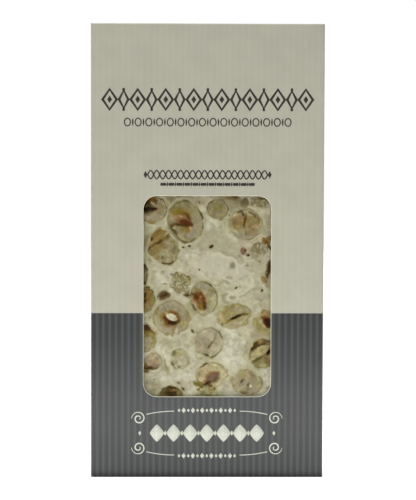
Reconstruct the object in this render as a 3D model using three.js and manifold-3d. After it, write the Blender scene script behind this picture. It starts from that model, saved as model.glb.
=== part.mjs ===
// A slice of crumbly hazelnut nougat standing upright in a shut folding carton with a glazed window.
// Millimetres, +Z up, front towards -Y, origin at the middle of the base.

import * as THREE from 'three';
import { mergeVertices } from 'three/addons/utils/BufferGeometryUtils.js';
import Module from 'manifold-3d';

const wasm = await Module();
wasm.setup();

// ---------------------------------------------------------------- driving dimensions

// Folding carton
const CARTON_WIDTH = 85;
const CARTON_HEIGHT = 166;
const CARTON_DEPTH = 16;
const BOARD = 0.5;
const CREASE_RADIUS = 0.8;
const SEAM = 0.3;
const TUCK_LENGTH = 12;
const TUCK_CORNER = 4;

// Window in the front panel, measured from the base
const WINDOW_WIDTH = 46.6;
const WINDOW_BOTTOM = 29.8;
const WINDOW_TOP = 103.4;
const WINDOW_RADIUS = 5;
const FILM = 0.2;
const FILM_OVERLAP = 4;

// Slice of nougat
const SLICE_WIDTH = 76;
const SLICE_HEIGHT = 124;
const SLICE_THICKNESS = 6;
const SLICE_RADIUS = 3;
const EDGE_CRUMBLE = 0.7;
const FACE_CRUMBLE = 0.22;

// Fits
const GAP = 0.3;
const NUT_PROUD = 0.12;
const NUT_DEPTH_MAX = 4.8;
const NUT_DEPTH_SHARE = 0.8;

// Planes that face the front, all square to Y
const FRONT = -CARTON_DEPTH / 2;
const BACK = CARTON_DEPTH / 2;
const FILM_FRONT = FRONT + BOARD + GAP;
const SLICE_FRONT = FILM_FRONT + FILM + GAP + NUT_PROUD + FACE_CRUMBLE;
const SLICE_BASE = BOARD + GAP;

// Rounding of the shapes
const ARC_STEPS = 5;
const NUT_SIDES = 20;
const NUT_RINGS = 4;

const COLOURS = {
  board: 0xb6b4a2,
  film: 0xf4f6f4,
  nougat: 0xcdc8b0,
  kernel: 0xa69b7d,
  chopped: 0xaea688,
};

// Hazelnuts cut open by the slice: centre from the carton's middle line and base, half width and
// half height of the cut face, turn in degrees anticlockwise seen from the front, and the hollows
// in that face as [kind, offset x, offset z, length, width, turn].
const HAZELNUTS = [
  { x: -20.0, z: 98.3, wide: 5.2, high: 5.1, turn: 0, hollows: [['split', -1.4, 0.8, 4.9, 1.8, -5]] },
  { x: -7.9, z: 93.9, wide: 6.3, high: 7.8, turn: 10, hollows: [['heart', -0.8, 0.6, 7.0, 3.2, -42]] },
  { x: 3.8, z: 98.6, wide: 3.8, high: 3.8, turn: 0, hollows: [] },
  { x: 13.9, z: 93.2, wide: 5.5, high: 5.3, turn: 0, hollows: [['split', -0.1, 0.6, 7.3, 0.6, 88]] },
  { x: -15.9, z: 84.7, wide: 5.6, high: 6.7, turn: 17, hollows: [['split', -1.4, 1.8, 8.2, 0.6, 29]] },
  { x: -25.1, z: 74.9, wide: 3.6, high: 3.9, turn: 0, hollows: [] },
  { x: -23.2, z: 65.5, wide: 4.3, high: 4.6, turn: 0, hollows: [] },
  { x: -1.0, z: 65.8, wide: 5.0, high: 6.5, turn: 3, hollows: [['heart', -1.5, -1.0, 7.4, 3.5, -59]] },
  { x: -13.1, z: 58.7, wide: 6.7, high: 6.7, turn: 0, hollows: [['hole', 0.2, 0.2, 4.4, 3.2, -12]] },
  { x: 9.9, z: 59.2, wide: 6.4, high: 4.8, turn: 8, hollows: [['split', 1.2, -0.3, 8.6, 1.1, 22]] },
  { x: 21.2, z: 56.9, wide: 4.4, high: 4.8, turn: 0, hollows: [['split', 0.9, 0.2, 4.4, 3.0, 75]] },
  { x: -22.7, z: 51.2, wide: 4.3, high: 5.2, turn: 0, hollows: [] },
  { x: 0.8, z: 49.5, wide: 5.4, high: 5.6, turn: 0, hollows: [['split', 1.7, -1.5, 8.3, 0.5, 46]] },
  { x: 20.2, z: 45.5, wide: 5.1, high: 5.7, turn: 0,
    hollows: [['split', -0.9, 3.2, 6.6, 1.4, 20], ['split', -0.2, -1.1, 7.5, 0.9, 31]] },
  { x: -10.0, z: 43.4, wide: 3.6, high: 3.8, turn: 0, hollows: [] },
  { x: -19.7, z: 42.3, wide: 3.6, high: 3.3, turn: 0, hollows: [] },
  { x: 2.0, z: 37.5, wide: 5.8, high: 4.7, turn: 0, hollows: [['heart', 0.0, -0.9, 6.6, 3.3, 23]] },
  { x: 14.8, z: 34.9, wide: 5.6, high: 4.9, turn: 0,
    hollows: [['pit', -1.8, 0.5, 1.3, 1.0, 0], ['pit', 0.5, -0.6, 1.5, 1.0, 60]] },
  { x: -13.0, z: 30.5, wide: 4.5, high: 3.0, turn: 0, hollows: [] },
  { x: 0.3, z: 30.6, wide: 3.9, high: 2.6, turn: 0, hollows: [] },
];

// How deep each kind of hollow goes in from the cut face
const HOLLOW_DEPTHS = { split: 1.6, heart: 0.7, pit: 0.8, hole: 2 * NUT_DEPTH_MAX };

// Clusters of chopped nut: centre, half width and half height
const CHOPPED = [
  { x: -9.7, z: 71.6, wide: 3.6, high: 3.9 },
  { x: 19.2, z: 101.1, wide: 3.3, high: 1.6 },
  { x: 19.2, z: 84.0, wide: 3.3, high: 2.2 },
];
const CHOPPED_CORE = 0.9;
const CHOPPED_LUMPS = 7;
const CHOPPED_LUMP_SHARE = 0.36;
const CHOPPED_DEPTH = 1.2;
const CHOPPED_PROUD = 0.3;

// Scraps of brown nut skin fused to the face of the nougat: centre, length, width and turn
const SKIN_SCRAPS = [
  { x: -15.8, z: 66.7, long: 3.2, wide: 1.8, turn: 12 },
  { x: -7.0, z: 67.7, long: 2.2, wide: 1.2, turn: 5 },
  { x: 22.7, z: 87.0, long: 4.0, wide: 1.8, turn: 20 },
  { x: 22.1, z: 75.1, long: 6.2, wide: 1.5, turn: 70 },
  { x: 13.4, z: 83.1, long: 1.9, wide: 1.5, turn: 70 },
  { x: 8.2, z: 102.7, long: 7.0, wide: 1.4, turn: -3 },
];
const SCRAP_PROUD = 0.2;
const SCRAP_SIDES = 8;
const SCRAP_ROUNDS = 4;

// ---------------------------------------------------------------- helpers

const radians = THREE.MathUtils.degToRad;

/** Seeded random numbers between 0 and 1. */
function seededRandom(seed) {
  let state = seed;
  return () => {
    state = (state * 1664525 + 1013904223) % 4294967296;
    return state / 4294967296;
  };
}

/** A closed geometry as a solid that can be cut and joined. */
function solidOf(geometry) {
  const bare = geometry.clone();
  bare.deleteAttribute('normal');
  bare.deleteAttribute('uv');
  const merged = mergeVertices(bare, 1e-4);
  return new wasm.Manifold(new wasm.Mesh({
    numProp: 3,
    vertProperties: new Float32Array(merged.attributes.position.array),
    triVerts: new Uint32Array(merged.index.array),
  }));
}

/** A solid as a geometry for a mesh. */
function geometryOf(solid) {
  const result = solid.getMesh();
  const geometry = new THREE.BufferGeometry();
  geometry.setAttribute('position', new THREE.BufferAttribute(result.vertProperties, 3));
  geometry.setIndex(new THREE.BufferAttribute(result.triVerts, 1));
  geometry.computeVertexNormals();
  return geometry;
}

/** A rectangle with rounded corners, centred on (cx, cy). */
function roundedRectangle(width, height, radius, cx = 0, cy = 0) {
  const [left, right] = [cx - width / 2, cx + width / 2];
  const [low, high] = [cy - height / 2, cy + height / 2];
  const shape = new THREE.Shape();
  shape.moveTo(left + radius, low);
  shape.lineTo(right - radius, low);
  shape.absarc(right - radius, low + radius, radius, -Math.PI / 2, 0);
  shape.lineTo(right, high - radius);
  shape.absarc(right - radius, high - radius, radius, 0, Math.PI / 2);
  shape.lineTo(left + radius, high);
  shape.absarc(left + radius, high - radius, radius, Math.PI / 2, Math.PI);
  shape.lineTo(left, low + radius);
  shape.absarc(left + radius, low + radius, radius, Math.PI, 1.5 * Math.PI);
  return shape;
}

/** A shape drawn in X and Y, raised from z = low to z = high. */
function raised(shape, low, high) {
  const geometry = new THREE.ExtrudeGeometry(shape, {
    depth: high - low, bevelEnabled: false, curveSegments: ARC_STEPS,
  });
  return geometry.translate(0, 0, low);
}

/** A shape drawn in X and Z as seen from the front, running back from y = near to y = far. */
function throughDepth(shape, near, far) {
  const geometry = new THREE.ExtrudeGeometry(shape, {
    depth: far - near, bevelEnabled: false, curveSegments: ARC_STEPS,
  });
  return geometry.rotateX(Math.PI / 2).translate(0, far, 0);
}

/** A shape drawn in Y and Z, running sideways from x = -half to x = half. */
function acrossWidth(shape, half) {
  const geometry = new THREE.ExtrudeGeometry(shape, {
    depth: 2 * half, bevelEnabled: false, curveSegments: ARC_STEPS,
  });
  return geometry.translate(0, 0, -half).rotateY(Math.PI / 2).rotateX(Math.PI / 2);
}

/** A box between two corners. */
function boxBetween([x0, y0, z0], [x1, y1, z1]) {
  const box = new THREE.BoxGeometry(x1 - x0, y1 - y0, z1 - z0);
  return box.translate((x0 + x1) / 2, (y0 + y1) / 2, (z0 + z1) / 2);
}

// ---------------------------------------------------------------- carton

/** The block that the carton fills, drawn in by inset on every side. */
function cartonBlock(inset) {
  const radius = Math.max(CREASE_RADIUS - inset, 0.1);
  const [width, depth] = [CARTON_WIDTH - 2 * inset, CARTON_DEPTH - 2 * inset];
  const height = CARTON_HEIGHT - 2 * inset;
  const plan = solidOf(raised(roundedRectangle(width, depth, radius), inset, inset + height));
  const side = solidOf(acrossWidth(roundedRectangle(depth, height, radius, 0, CARTON_HEIGHT / 2), width));
  return plan.intersect(side);
}

/** The slits round an end panel, which hangs on the front crease and is tucked in at the back. */
function endSeams(low, high) {
  const sideX = CARTON_WIDTH / 2 - BOARD - SEAM;
  const backY = BACK - BOARD - SEAM;
  const frontY = FRONT + CREASE_RADIUS;
  const slits = [
    boxBetween([-sideX - SEAM, frontY, low], [-sideX, backY + SEAM, high]),
    boxBetween([sideX, frontY, low], [sideX + SEAM, backY + SEAM, high]),
    boxBetween([-sideX - SEAM, backY, low], [sideX + SEAM, backY + SEAM, high]),
  ];
  return slits.map(solidOf).reduce((all, slit) => all.add(slit));
}

/** The tuck flap inside the back panel: it starts in the end panel at z = from and ends at z = to. */
function tuckFlap(from, to) {
  const half = CARTON_WIDTH / 2 - BOARD - 2 * SEAM - 1;
  const way = Math.sign(to - from);
  const outline = new THREE.Shape();
  outline.moveTo(-half, from);
  outline.lineTo(-half, to - way * TUCK_CORNER);
  outline.quadraticCurveTo(-half, to, -half + TUCK_CORNER, to);
  outline.lineTo(half - TUCK_CORNER, to);
  outline.quadraticCurveTo(half, to, half, to - way * TUCK_CORNER);
  outline.lineTo(half, from);
  const outer = BACK - BOARD - SEAM;
  return solidOf(throughDepth(outline, outer - BOARD, outer));
}

/** The carton: four walls folded from one board, shut at both ends, with the window cut out. */
function cartonSolid() {
  const windowHeight = WINDOW_TOP - WINDOW_BOTTOM;
  const opening = roundedRectangle(
    WINDOW_WIDTH, windowHeight, WINDOW_RADIUS, 0, (WINDOW_TOP + WINDOW_BOTTOM) / 2,
  );
  const windowCut = solidOf(throughDepth(opening, FRONT - 1, FRONT + BOARD + GAP));
  const reach = 0.2;
  return cartonBlock(0)
    .subtract(cartonBlock(BOARD))
    .subtract(windowCut)
    .subtract(endSeams(-reach, BOARD + reach))
    .subtract(endSeams(CARTON_HEIGHT - BOARD - reach, CARTON_HEIGHT + reach))
    .add(tuckFlap(BOARD / 2, TUCK_LENGTH))
    .add(tuckFlap(CARTON_HEIGHT - BOARD / 2, CARTON_HEIGHT - TUCK_LENGTH));
}

/** The clear film that glazes the window from inside. */
function filmGeometry() {
  const outline = roundedRectangle(
    WINDOW_WIDTH + 2 * FILM_OVERLAP,
    WINDOW_TOP - WINDOW_BOTTOM + 2 * FILM_OVERLAP,
    1,
    0,
    (WINDOW_TOP + WINDOW_BOTTOM) / 2,
  );
  return throughDepth(outline, FILM_FRONT, FILM_FRONT + FILM);
}

// ---------------------------------------------------------------- nuts

/** Spreads a geometry's outline into gentle lobes about the Y axis, so that no nut is a true ellipse. */
function lobed(geometry, random) {
  const position = geometry.attributes.position;
  const lobes = [2, 3, 5].map((count) => ({ count, size: 0.028 * random(), phase: 2 * Math.PI * random() }));
  for (let i = 0; i < position.count; i += 1) {
    const angle = Math.atan2(position.getZ(i), position.getX(i));
    const swell = lobes.reduce((sum, lobe) => sum + lobe.size * Math.cos(lobe.count * angle + lobe.phase), 1);
    position.setX(i, position.getX(i) * swell);
    position.setZ(i, position.getZ(i) * swell);
  }
  return geometry;
}

/** A nut's body behind its cut face, a bowl-shaped half of an ellipsoid, grown all round by grow. */
function nutBody(nut, grow, seed) {
  const radius = (nut.wide + nut.high) / 2 + grow;
  const depth = Math.min(NUT_DEPTH_SHARE * radius, NUT_DEPTH_MAX) + grow;
  const front = grow > 0 ? grow + 1 : 0;
  const profile = [new THREE.Vector2(0, -front), new THREE.Vector2(radius, -front)];
  for (let ring = grow > 0 ? 0 : 1; ring <= NUT_RINGS; ring += 1) {
    const angle = (ring / NUT_RINGS) * (Math.PI / 2);
    const across = radius * Math.cos(angle) ** 0.7;
    profile.push(new THREE.Vector2(ring === NUT_RINGS ? 0 : across, depth * Math.sin(angle)));
  }
  const body = new THREE.LatheGeometry(profile, NUT_SIDES);
  body.scale((nut.wide + grow) / radius, 1, (nut.high + grow) / radius);
  lobed(body, seededRandom(seed));
  body.rotateY(-radians(nut.turn));
  return solidOf(body.translate(nut.x, SLICE_FRONT - NUT_PROUD, nut.z));
}

/** A pointed oval hollow in a cut face, as the solid that carves it. */
function hollowCutter(nut, [kind, dx, dz, long, wide, turn]) {
  const oval = new THREE.Shape();
  oval.moveTo(-long / 2, 0);
  oval.quadraticCurveTo(0, -wide, long / 2, 0);
  oval.quadraticCurveTo(0, wide, -long / 2, 0);
  const near = -1;
  const cutter = throughDepth(oval, near, HOLLOW_DEPTHS[kind]).rotateY(-radians(turn));
  return solidOf(cutter.translate(nut.x + dx, SLICE_FRONT - NUT_PROUD, nut.z + dz));
}

/** A cluster of chopped nut: a knobbly core with uneven lumps run together on its face. */
function choppedBody(cluster, seed) {
  const random = seededRandom(seed);
  const core = { ...cluster, turn: 0, wide: CHOPPED_CORE * cluster.wide, high: CHOPPED_CORE * cluster.high };
  let body = nutBody(core, 0, seed);
  for (let i = 0; i < CHOPPED_LUMPS; i += 1) {
    const angle = (2 * Math.PI * (i + 0.5 * random())) / CHOPPED_LUMPS;
    const reach = i % 2 ? 0.28 : 0.62;
    const size = CHOPPED_LUMP_SHARE * Math.min(cluster.wide, cluster.high) * (1 - 0.3 * random());
    const lump = new THREE.IcosahedronGeometry(size, 0);
    lump.scale(1.2, CHOPPED_DEPTH / (2 * size), 1);
    lump.rotateY(Math.PI * random());
    lump.translate(
      cluster.x + reach * cluster.wide * Math.cos(angle),
      SLICE_FRONT - CHOPPED_PROUD + CHOPPED_DEPTH / 2,
      cluster.z + reach * cluster.high * Math.sin(angle),
    );
    body = body.add(solidOf(lump));
  }
  return body;
}

// ---------------------------------------------------------------- nougat

/** Low waves of the crumbly surface at a point, between -1 and 1. */
function crumble(u, v) {
  const slow = Math.sin(0.21 * u + 0.4) * Math.cos(0.17 * v - 0.9);
  const quick = Math.sin(0.73 * u + 0.35 * v) * Math.cos(0.61 * v - 0.28 * u + 1.3);
  return 0.6 * slow + 0.4 * quick;
}

/** The bare slice: a flat slab with rounded, crumbled edges and a slightly uneven face. */
function slabSolid() {
  const slab = new THREE.BoxGeometry(SLICE_WIDTH, SLICE_THICKNESS, SLICE_HEIGHT, 12, 1, 20);
  const position = slab.attributes.position;
  const [halfWidth, halfHeight] = [SLICE_WIDTH / 2, SLICE_HEIGHT / 2];
  for (let i = 0; i < position.count; i += 1) {
    let [x, y, z] = [position.getX(i), position.getY(i), position.getZ(i)];
    const edgeX = Math.abs(x) > halfWidth - 1e-3;
    const edgeZ = Math.abs(z) > halfHeight - 1e-3;
    y += FACE_CRUMBLE * crumble(x, z);
    if (edgeX && edgeZ) {
      x -= Math.sign(x) * SLICE_RADIUS * 0.5;
      z -= Math.sign(z) * SLICE_RADIUS * 0.5;
    } else if (edgeX) {
      x += EDGE_CRUMBLE * crumble(z, 9 * Math.sign(x)) - EDGE_CRUMBLE * Math.sign(x);
    } else if (edgeZ && z > 0) {
      z += EDGE_CRUMBLE * (crumble(x, 31) - 1);
    }
    position.setXYZ(i, x, y, z);
  }
  slab.translate(0, SLICE_FRONT + SLICE_THICKNESS / 2, SLICE_BASE + halfHeight);
  return solidOf(slab);
}

/** A scrap of nut skin: a small flat pebble half sunk in the face of the nougat. */
function scrapSolid({ x, z, long, wide, turn }) {
  const scrap = new THREE.SphereGeometry(1, SCRAP_SIDES, SCRAP_ROUNDS);
  scrap.scale(long / 2, FACE_CRUMBLE + SCRAP_PROUD, wide / 2);
  return solidOf(scrap.rotateY(-radians(turn)).translate(x, SLICE_FRONT, z));
}

// ---------------------------------------------------------------- assembly

const object = new THREE.Group();

/** Adds a named piece to the object. */
function addPiece(name, geometry, colour, roughness, metalness = 0) {
  const material = new THREE.MeshStandardMaterial({ color: colour, roughness, metalness });
  const piece = new THREE.Mesh(geometry, material);
  piece.name = name;
  object.add(piece);
}

/** A two-digit number for a node's name. */
function twoDigits(number) {
  return String(number).padStart(2, '0');
}

addPiece('carton', geometryOf(cartonSolid()), COLOURS.board, 0.6);
addPiece('window_film', filmGeometry(), COLOURS.film, 0.1);

let taken = null;
let slice = slabSolid();
SKIN_SCRAPS.forEach((scrap) => {
  slice = slice.add(scrapSolid(scrap));
});

/** Fits a piece into the slice: it gives way to the pieces before it, and the nougat to all of them. */
function embed(name, body, pocket, colour, roughness) {
  const fitted = taken ? body.subtract(taken) : body;
  taken = taken ? taken.add(pocket) : pocket;
  slice = slice.subtract(pocket);
  addPiece(name, geometryOf(fitted), colour, roughness);
}

HAZELNUTS.forEach((nut, i) => {
  const carved = nut.hollows.reduce(
    (body, hollow) => body.subtract(hollowCutter(nut, hollow)),
    nutBody(nut, 0, i + 1),
  );
  embed(`hazelnut_${twoDigits(i + 1)}`, carved, nutBody(nut, GAP, i + 1), COLOURS.kernel, 0.5);
});

CHOPPED.forEach((cluster, i) => {
  const seed = 100 + i;
  const pocket = nutBody({ ...cluster, turn: 0 }, GAP, seed);
  embed(`chopped_nut_${i + 1}`, choppedBody(cluster, seed), pocket, COLOURS.chopped, 0.6);
});

addPiece('nougat_slice', geometryOf(slice), COLOURS.nougat, 0.7);

export default object;
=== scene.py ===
"""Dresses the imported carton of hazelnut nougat: printed board, window film, the slice and its nuts."""

import logging
import math
from dataclasses import dataclass, field, replace
from enum import Enum
from typing import Iterable, Sequence

import bpy
import numpy as np
from mathutils import Matrix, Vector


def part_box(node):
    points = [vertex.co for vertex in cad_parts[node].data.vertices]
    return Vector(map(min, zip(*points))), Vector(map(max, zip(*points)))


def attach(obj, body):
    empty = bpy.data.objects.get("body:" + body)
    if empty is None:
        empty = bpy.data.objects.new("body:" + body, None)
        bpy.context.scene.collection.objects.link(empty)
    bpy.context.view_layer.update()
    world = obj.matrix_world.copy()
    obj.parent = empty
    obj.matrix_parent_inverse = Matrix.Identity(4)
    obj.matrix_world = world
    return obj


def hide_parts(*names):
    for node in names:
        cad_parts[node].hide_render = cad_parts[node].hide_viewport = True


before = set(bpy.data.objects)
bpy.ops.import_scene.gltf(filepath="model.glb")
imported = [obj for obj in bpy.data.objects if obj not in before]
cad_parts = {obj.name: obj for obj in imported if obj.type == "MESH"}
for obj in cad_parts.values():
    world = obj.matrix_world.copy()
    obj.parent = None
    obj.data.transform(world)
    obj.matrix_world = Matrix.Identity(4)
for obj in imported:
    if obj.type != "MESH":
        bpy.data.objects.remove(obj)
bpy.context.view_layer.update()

Array = np.ndarray
Colour = tuple[float, float, float, float]
Part = tuple[Array, list[Array]]
Inputs = dict[str | int, object]
Material = bpy.types.Material
Node = bpy.types.Node
Object = bpy.types.Object
Outputs = bpy.types.NodeOutputs
Socket = bpy.types.NodeSocket
Tree = bpy.types.NodeTree

MM = 0.001
BODY = "root"
FOOD_GAIN = np.array([0.78, 0.77, 0.74])  # paint over its tone, so that it looks right when lit
PINK_SHIFT = np.array([1.0, -0.35, 0.5])  # change of red, green and blue by a tint of 1
HOLLOW_MM = 0.4  # depth of a patch or a line whose deep is 1
LAYER_SHIFT = (7.3, -3.1)  # how far each layer of waves is moved from the last
NOISE_LOW, NOISE_HIGH = 0.3, 0.7  # usual range of a noise texture
LOZENGE, OVAL = 1.0, 2.0  # powers of an ornament's outline
SLICE = "nougat_slice"
log = logging.getLogger("nougat_carton")


# ---- numbers and shapes


def to_light(screen: Array) -> Array:
    """Turns screen values from 0 to 255 into the linear values that shaders take, by the sRGB curve."""
    share = np.clip(np.asarray(screen, float) / 255, 0, 1)
    return np.where(share <= 0.04045, share / 12.92, ((share + 0.055) / 1.055) ** 2.4)


def linear(red: float, green: float, blue: float) -> Colour:
    """Colour of a shader socket from screen values."""
    return (*(float(value) for value in to_light([red, green, blue])), 1.0)


def smoothstep(low: float, high: float, value: Array) -> Array:
    """Rises from 0 at low to 1 at high along the cubic 3t^2 - 2t^3."""
    t = np.clip((value - low) / (high - low), 0, 1)
    return t * t * (3 - 2 * t)


def bell(away: Array, width: float) -> Array:
    """Falls from 1 to both sides along exp(-(away/width)^2)."""
    return np.exp(-((away / width) ** 2))


def box_mm(node: str) -> tuple[Array, Array]:
    """Lowest and highest corners of a CAD node in millimetres."""
    low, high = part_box(node)
    return np.array(low) / MM, np.array(high) / MM


@dataclass
class WaveNoise:
    """Smooth random waves over a plane, from a seeded table of values met by cubic blending."""

    seed: int
    size: int = 61
    table: Array = field(init=False)

    def __post_init__(self) -> None:
        """Draws the table."""
        self.table = np.random.default_rng(self.seed).random((self.size, self.size)) * 2 - 1

    def at(self, u: Array, v: Array) -> Array:
        """One layer of waves a unit apart: the four table values round a point, blended by 3t^2 - 2t^3."""
        left, low = np.floor(u).astype(int), np.floor(v).astype(int)
        s, t = smoothstep(0, 1, u - left), smoothstep(0, 1, v - low)
        n = self.size
        corner = [self.table[(left + i) % n, (low + j) % n] for i in (0, 1) for j in (0, 1)]
        near = corner[0] * (1 - t) + corner[1] * t
        far = corner[2] * (1 - t) + corner[3] * t
        return near * (1 - s) + far * s

    def layers(self, u: Array, v: Array, count: int, gain: float = 0.5) -> Array:
        """Sum of layers, each twice as fine as the last, gain times as high and moved by LAYER_SHIFT."""
        right, up = LAYER_SHIFT
        return sum(gain**k * self.at(u * 2**k + right * k, v * 2**k + up * k) for k in range(count))


def turned(u: Array, v: Array, degrees: float) -> tuple[Array, Array]:
    """Coordinates of points along and across an axis that is turned anticlockwise by degrees."""
    a = math.radians(degrees)
    return u * math.cos(a) + v * math.sin(a), v * math.cos(a) - u * math.sin(a)


def grid_faces(rows: int, columns: int, wrap: bool, first: int = 0) -> Array:
    """Quads between the neighbouring points of a grid, round to the first column again where it wraps."""
    r, c = np.meshgrid(np.arange(rows - 1), np.arange(columns if wrap else columns - 1), indexing="ij")
    beside = (c + 1) % columns
    quads = [r * columns + c, r * columns + beside, (r + 1) * columns + beside, (r + 1) * columns + c]
    return np.stack(quads, -1).reshape(-1, 4) + first


def band_faces(loop: Array, onward: Array) -> Array:
    """Quads that join a closed loop of points to another of the same length."""
    return np.stack([np.roll(loop, -1), loop, onward, np.roll(onward, -1)], -1)


def fan_faces(loop: Array, pole: int) -> Array:
    """Triangles from a closed loop of points to one pole."""
    return np.stack([np.roll(loop, -1), loop, np.full(len(loop), pole)], -1)


def border(rows: int, columns: int) -> Array:
    """Indices round the edge of a grid, as one closed loop."""
    index = np.arange(rows * columns).reshape(rows, columns)
    return np.concatenate([index[0], index[1:, -1], index[-1, -2::-1], index[-2:0:-1, 0]])


def thick_sheet(outer: Array, inner: Array, wrap: bool) -> Part:
    """Closes the space between two grids of points of the same shape.

    Args:
        outer: Outer face, rows by columns by 3.
        inner: Inner face, point for point behind the outer one.
        wrap: Whether the last column meets the first.

    Returns:
        The points and the faces of a closed sheet.
    """
    rows, columns, _ = outer.shape
    count = rows * columns
    index = np.arange(count).reshape(rows, columns)
    loops = [index[0], index[-1][::-1]] if wrap else [border(rows, columns)]
    faces = [grid_faces(rows, columns, wrap), grid_faces(rows, columns, wrap, count)[:, ::-1]]
    faces += [band_faces(loop, loop + count) for loop in loops]
    return np.concatenate([outer.reshape(-1, 3), inner.reshape(-1, 3)]), faces


def ring_solid(rings: Array, start: Array, end: Array) -> Part:
    """Closes a stack of rings, rows by columns by 3, with a fan of triangles to a pole at each end."""
    rows, columns, _ = rings.shape
    count = rows * columns
    first = np.arange(columns)
    last = (count - columns + first)[::-1]
    points = np.concatenate([rings.reshape(-1, 3), start[None], end[None]])
    return points, [grid_faces(rows, columns, True), fan_faces(first, count), fan_faces(last, count + 1)]


def joined(parts: Iterable[Part]) -> Part:
    """Puts several parts in one list of points and one of faces, each part facing outward."""
    points, faces, first = [], [], 0
    for part_points, part_faces in parts:
        points.append(part_points)
        faces += [face + first for face in facing_out(part_points - part_points.mean(0), part_faces)]
        first += len(part_points)
    return np.concatenate(points), faces


def facing_out(points: Array, faces: list[Array]) -> list[Array]:
    """Reverses every face where the volume they enclose, summed over triangles, comes out negative."""
    volume = 0.0
    for face in faces:
        for k in range(1, face.shape[1] - 1):
            a, b, c = points[face[:, 0]], points[face[:, k]], points[face[:, k + 1]]
            volume += float(np.einsum("ij,ij->i", a, np.cross(b, c)).sum())
    return faces if volume > 0 else [face[:, ::-1] for face in faces]


def add_object(name: str, data: bpy.types.ID) -> Object:
    """Puts a mesh, a light or a camera in the scene as an object."""
    made = bpy.data.objects.new(name, data)
    bpy.context.scene.collection.objects.link(made)
    return made


def make_mesh(name: str, part: Part, finish: Material) -> Object:
    """Makes a smooth mesh object whose faces all look outward.

    Args:
        name: Name of the mesh and the object.
        part: Its points in millimetres and its faces.
        finish: Its material.

    Returns:
        The new object.
    """
    points, faces = part
    faces = facing_out(points - points.mean(0), faces)
    corners = np.concatenate([face.ravel() for face in faces]).astype(np.int32)
    sizes = np.concatenate([np.full(len(face), face.shape[1]) for face in faces])
    mesh = bpy.data.meshes.new(name)
    mesh.vertices.add(len(points))
    mesh.vertices.foreach_set("co", (points * MM).astype(np.float32).ravel())
    mesh.loops.add(len(corners))
    mesh.loops.foreach_set("vertex_index", corners)
    mesh.polygons.add(len(sizes))
    mesh.polygons.foreach_set("loop_start", np.concatenate([[0], np.cumsum(sizes)[:-1]]).astype(np.int32))
    mesh.update(calc_edges=True)
    mesh.validate()
    mesh.shade_smooth()
    mesh.materials.append(finish)
    return add_object(name, mesh)


def make_piece(
    name: str, part: Part, finish: Material, stands_for: Sequence[str],
    marks: dict[str, Array] | None = None, crisp: float = 0.0,
) -> Object:
    """Makes a finished piece that rides on the object's one body.

    Args:
        name: Name of the piece.
        part: Its points in millimetres and its faces.
        finish: Material of the whole piece.
        stands_for: CAD nodes that the piece replaces.
        marks: Values, or colours as screen values, at each point that the material reads by name.
        crisp: Angle in degrees above which edges stay crisp, or none for no crisp edge.

    Returns:
        The new object.
    """
    piece = make_mesh(name, part, finish)
    for mark, values in (marks or {}).items():
        if values.ndim > 1:
            layer = piece.data.attributes.new(mark, "FLOAT_COLOR", "POINT")
            shade = np.concatenate([to_light(values) * FOOD_GAIN, np.ones((len(values), 1))], 1)
            layer.data.foreach_set("color", shade.astype(np.float32).ravel())
        else:
            layer = piece.data.attributes.new(mark, "FLOAT", "POINT")
            layer.data.foreach_set("value", values.astype(np.float32))
    if crisp:
        piece.data.set_sharp_from_angle(angle=math.radians(crisp))
    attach(piece, BODY)
    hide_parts(*stands_for)
    log.info("%s: %d points", name, len(part[0]))
    return piece


# ---- shader nodes


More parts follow.
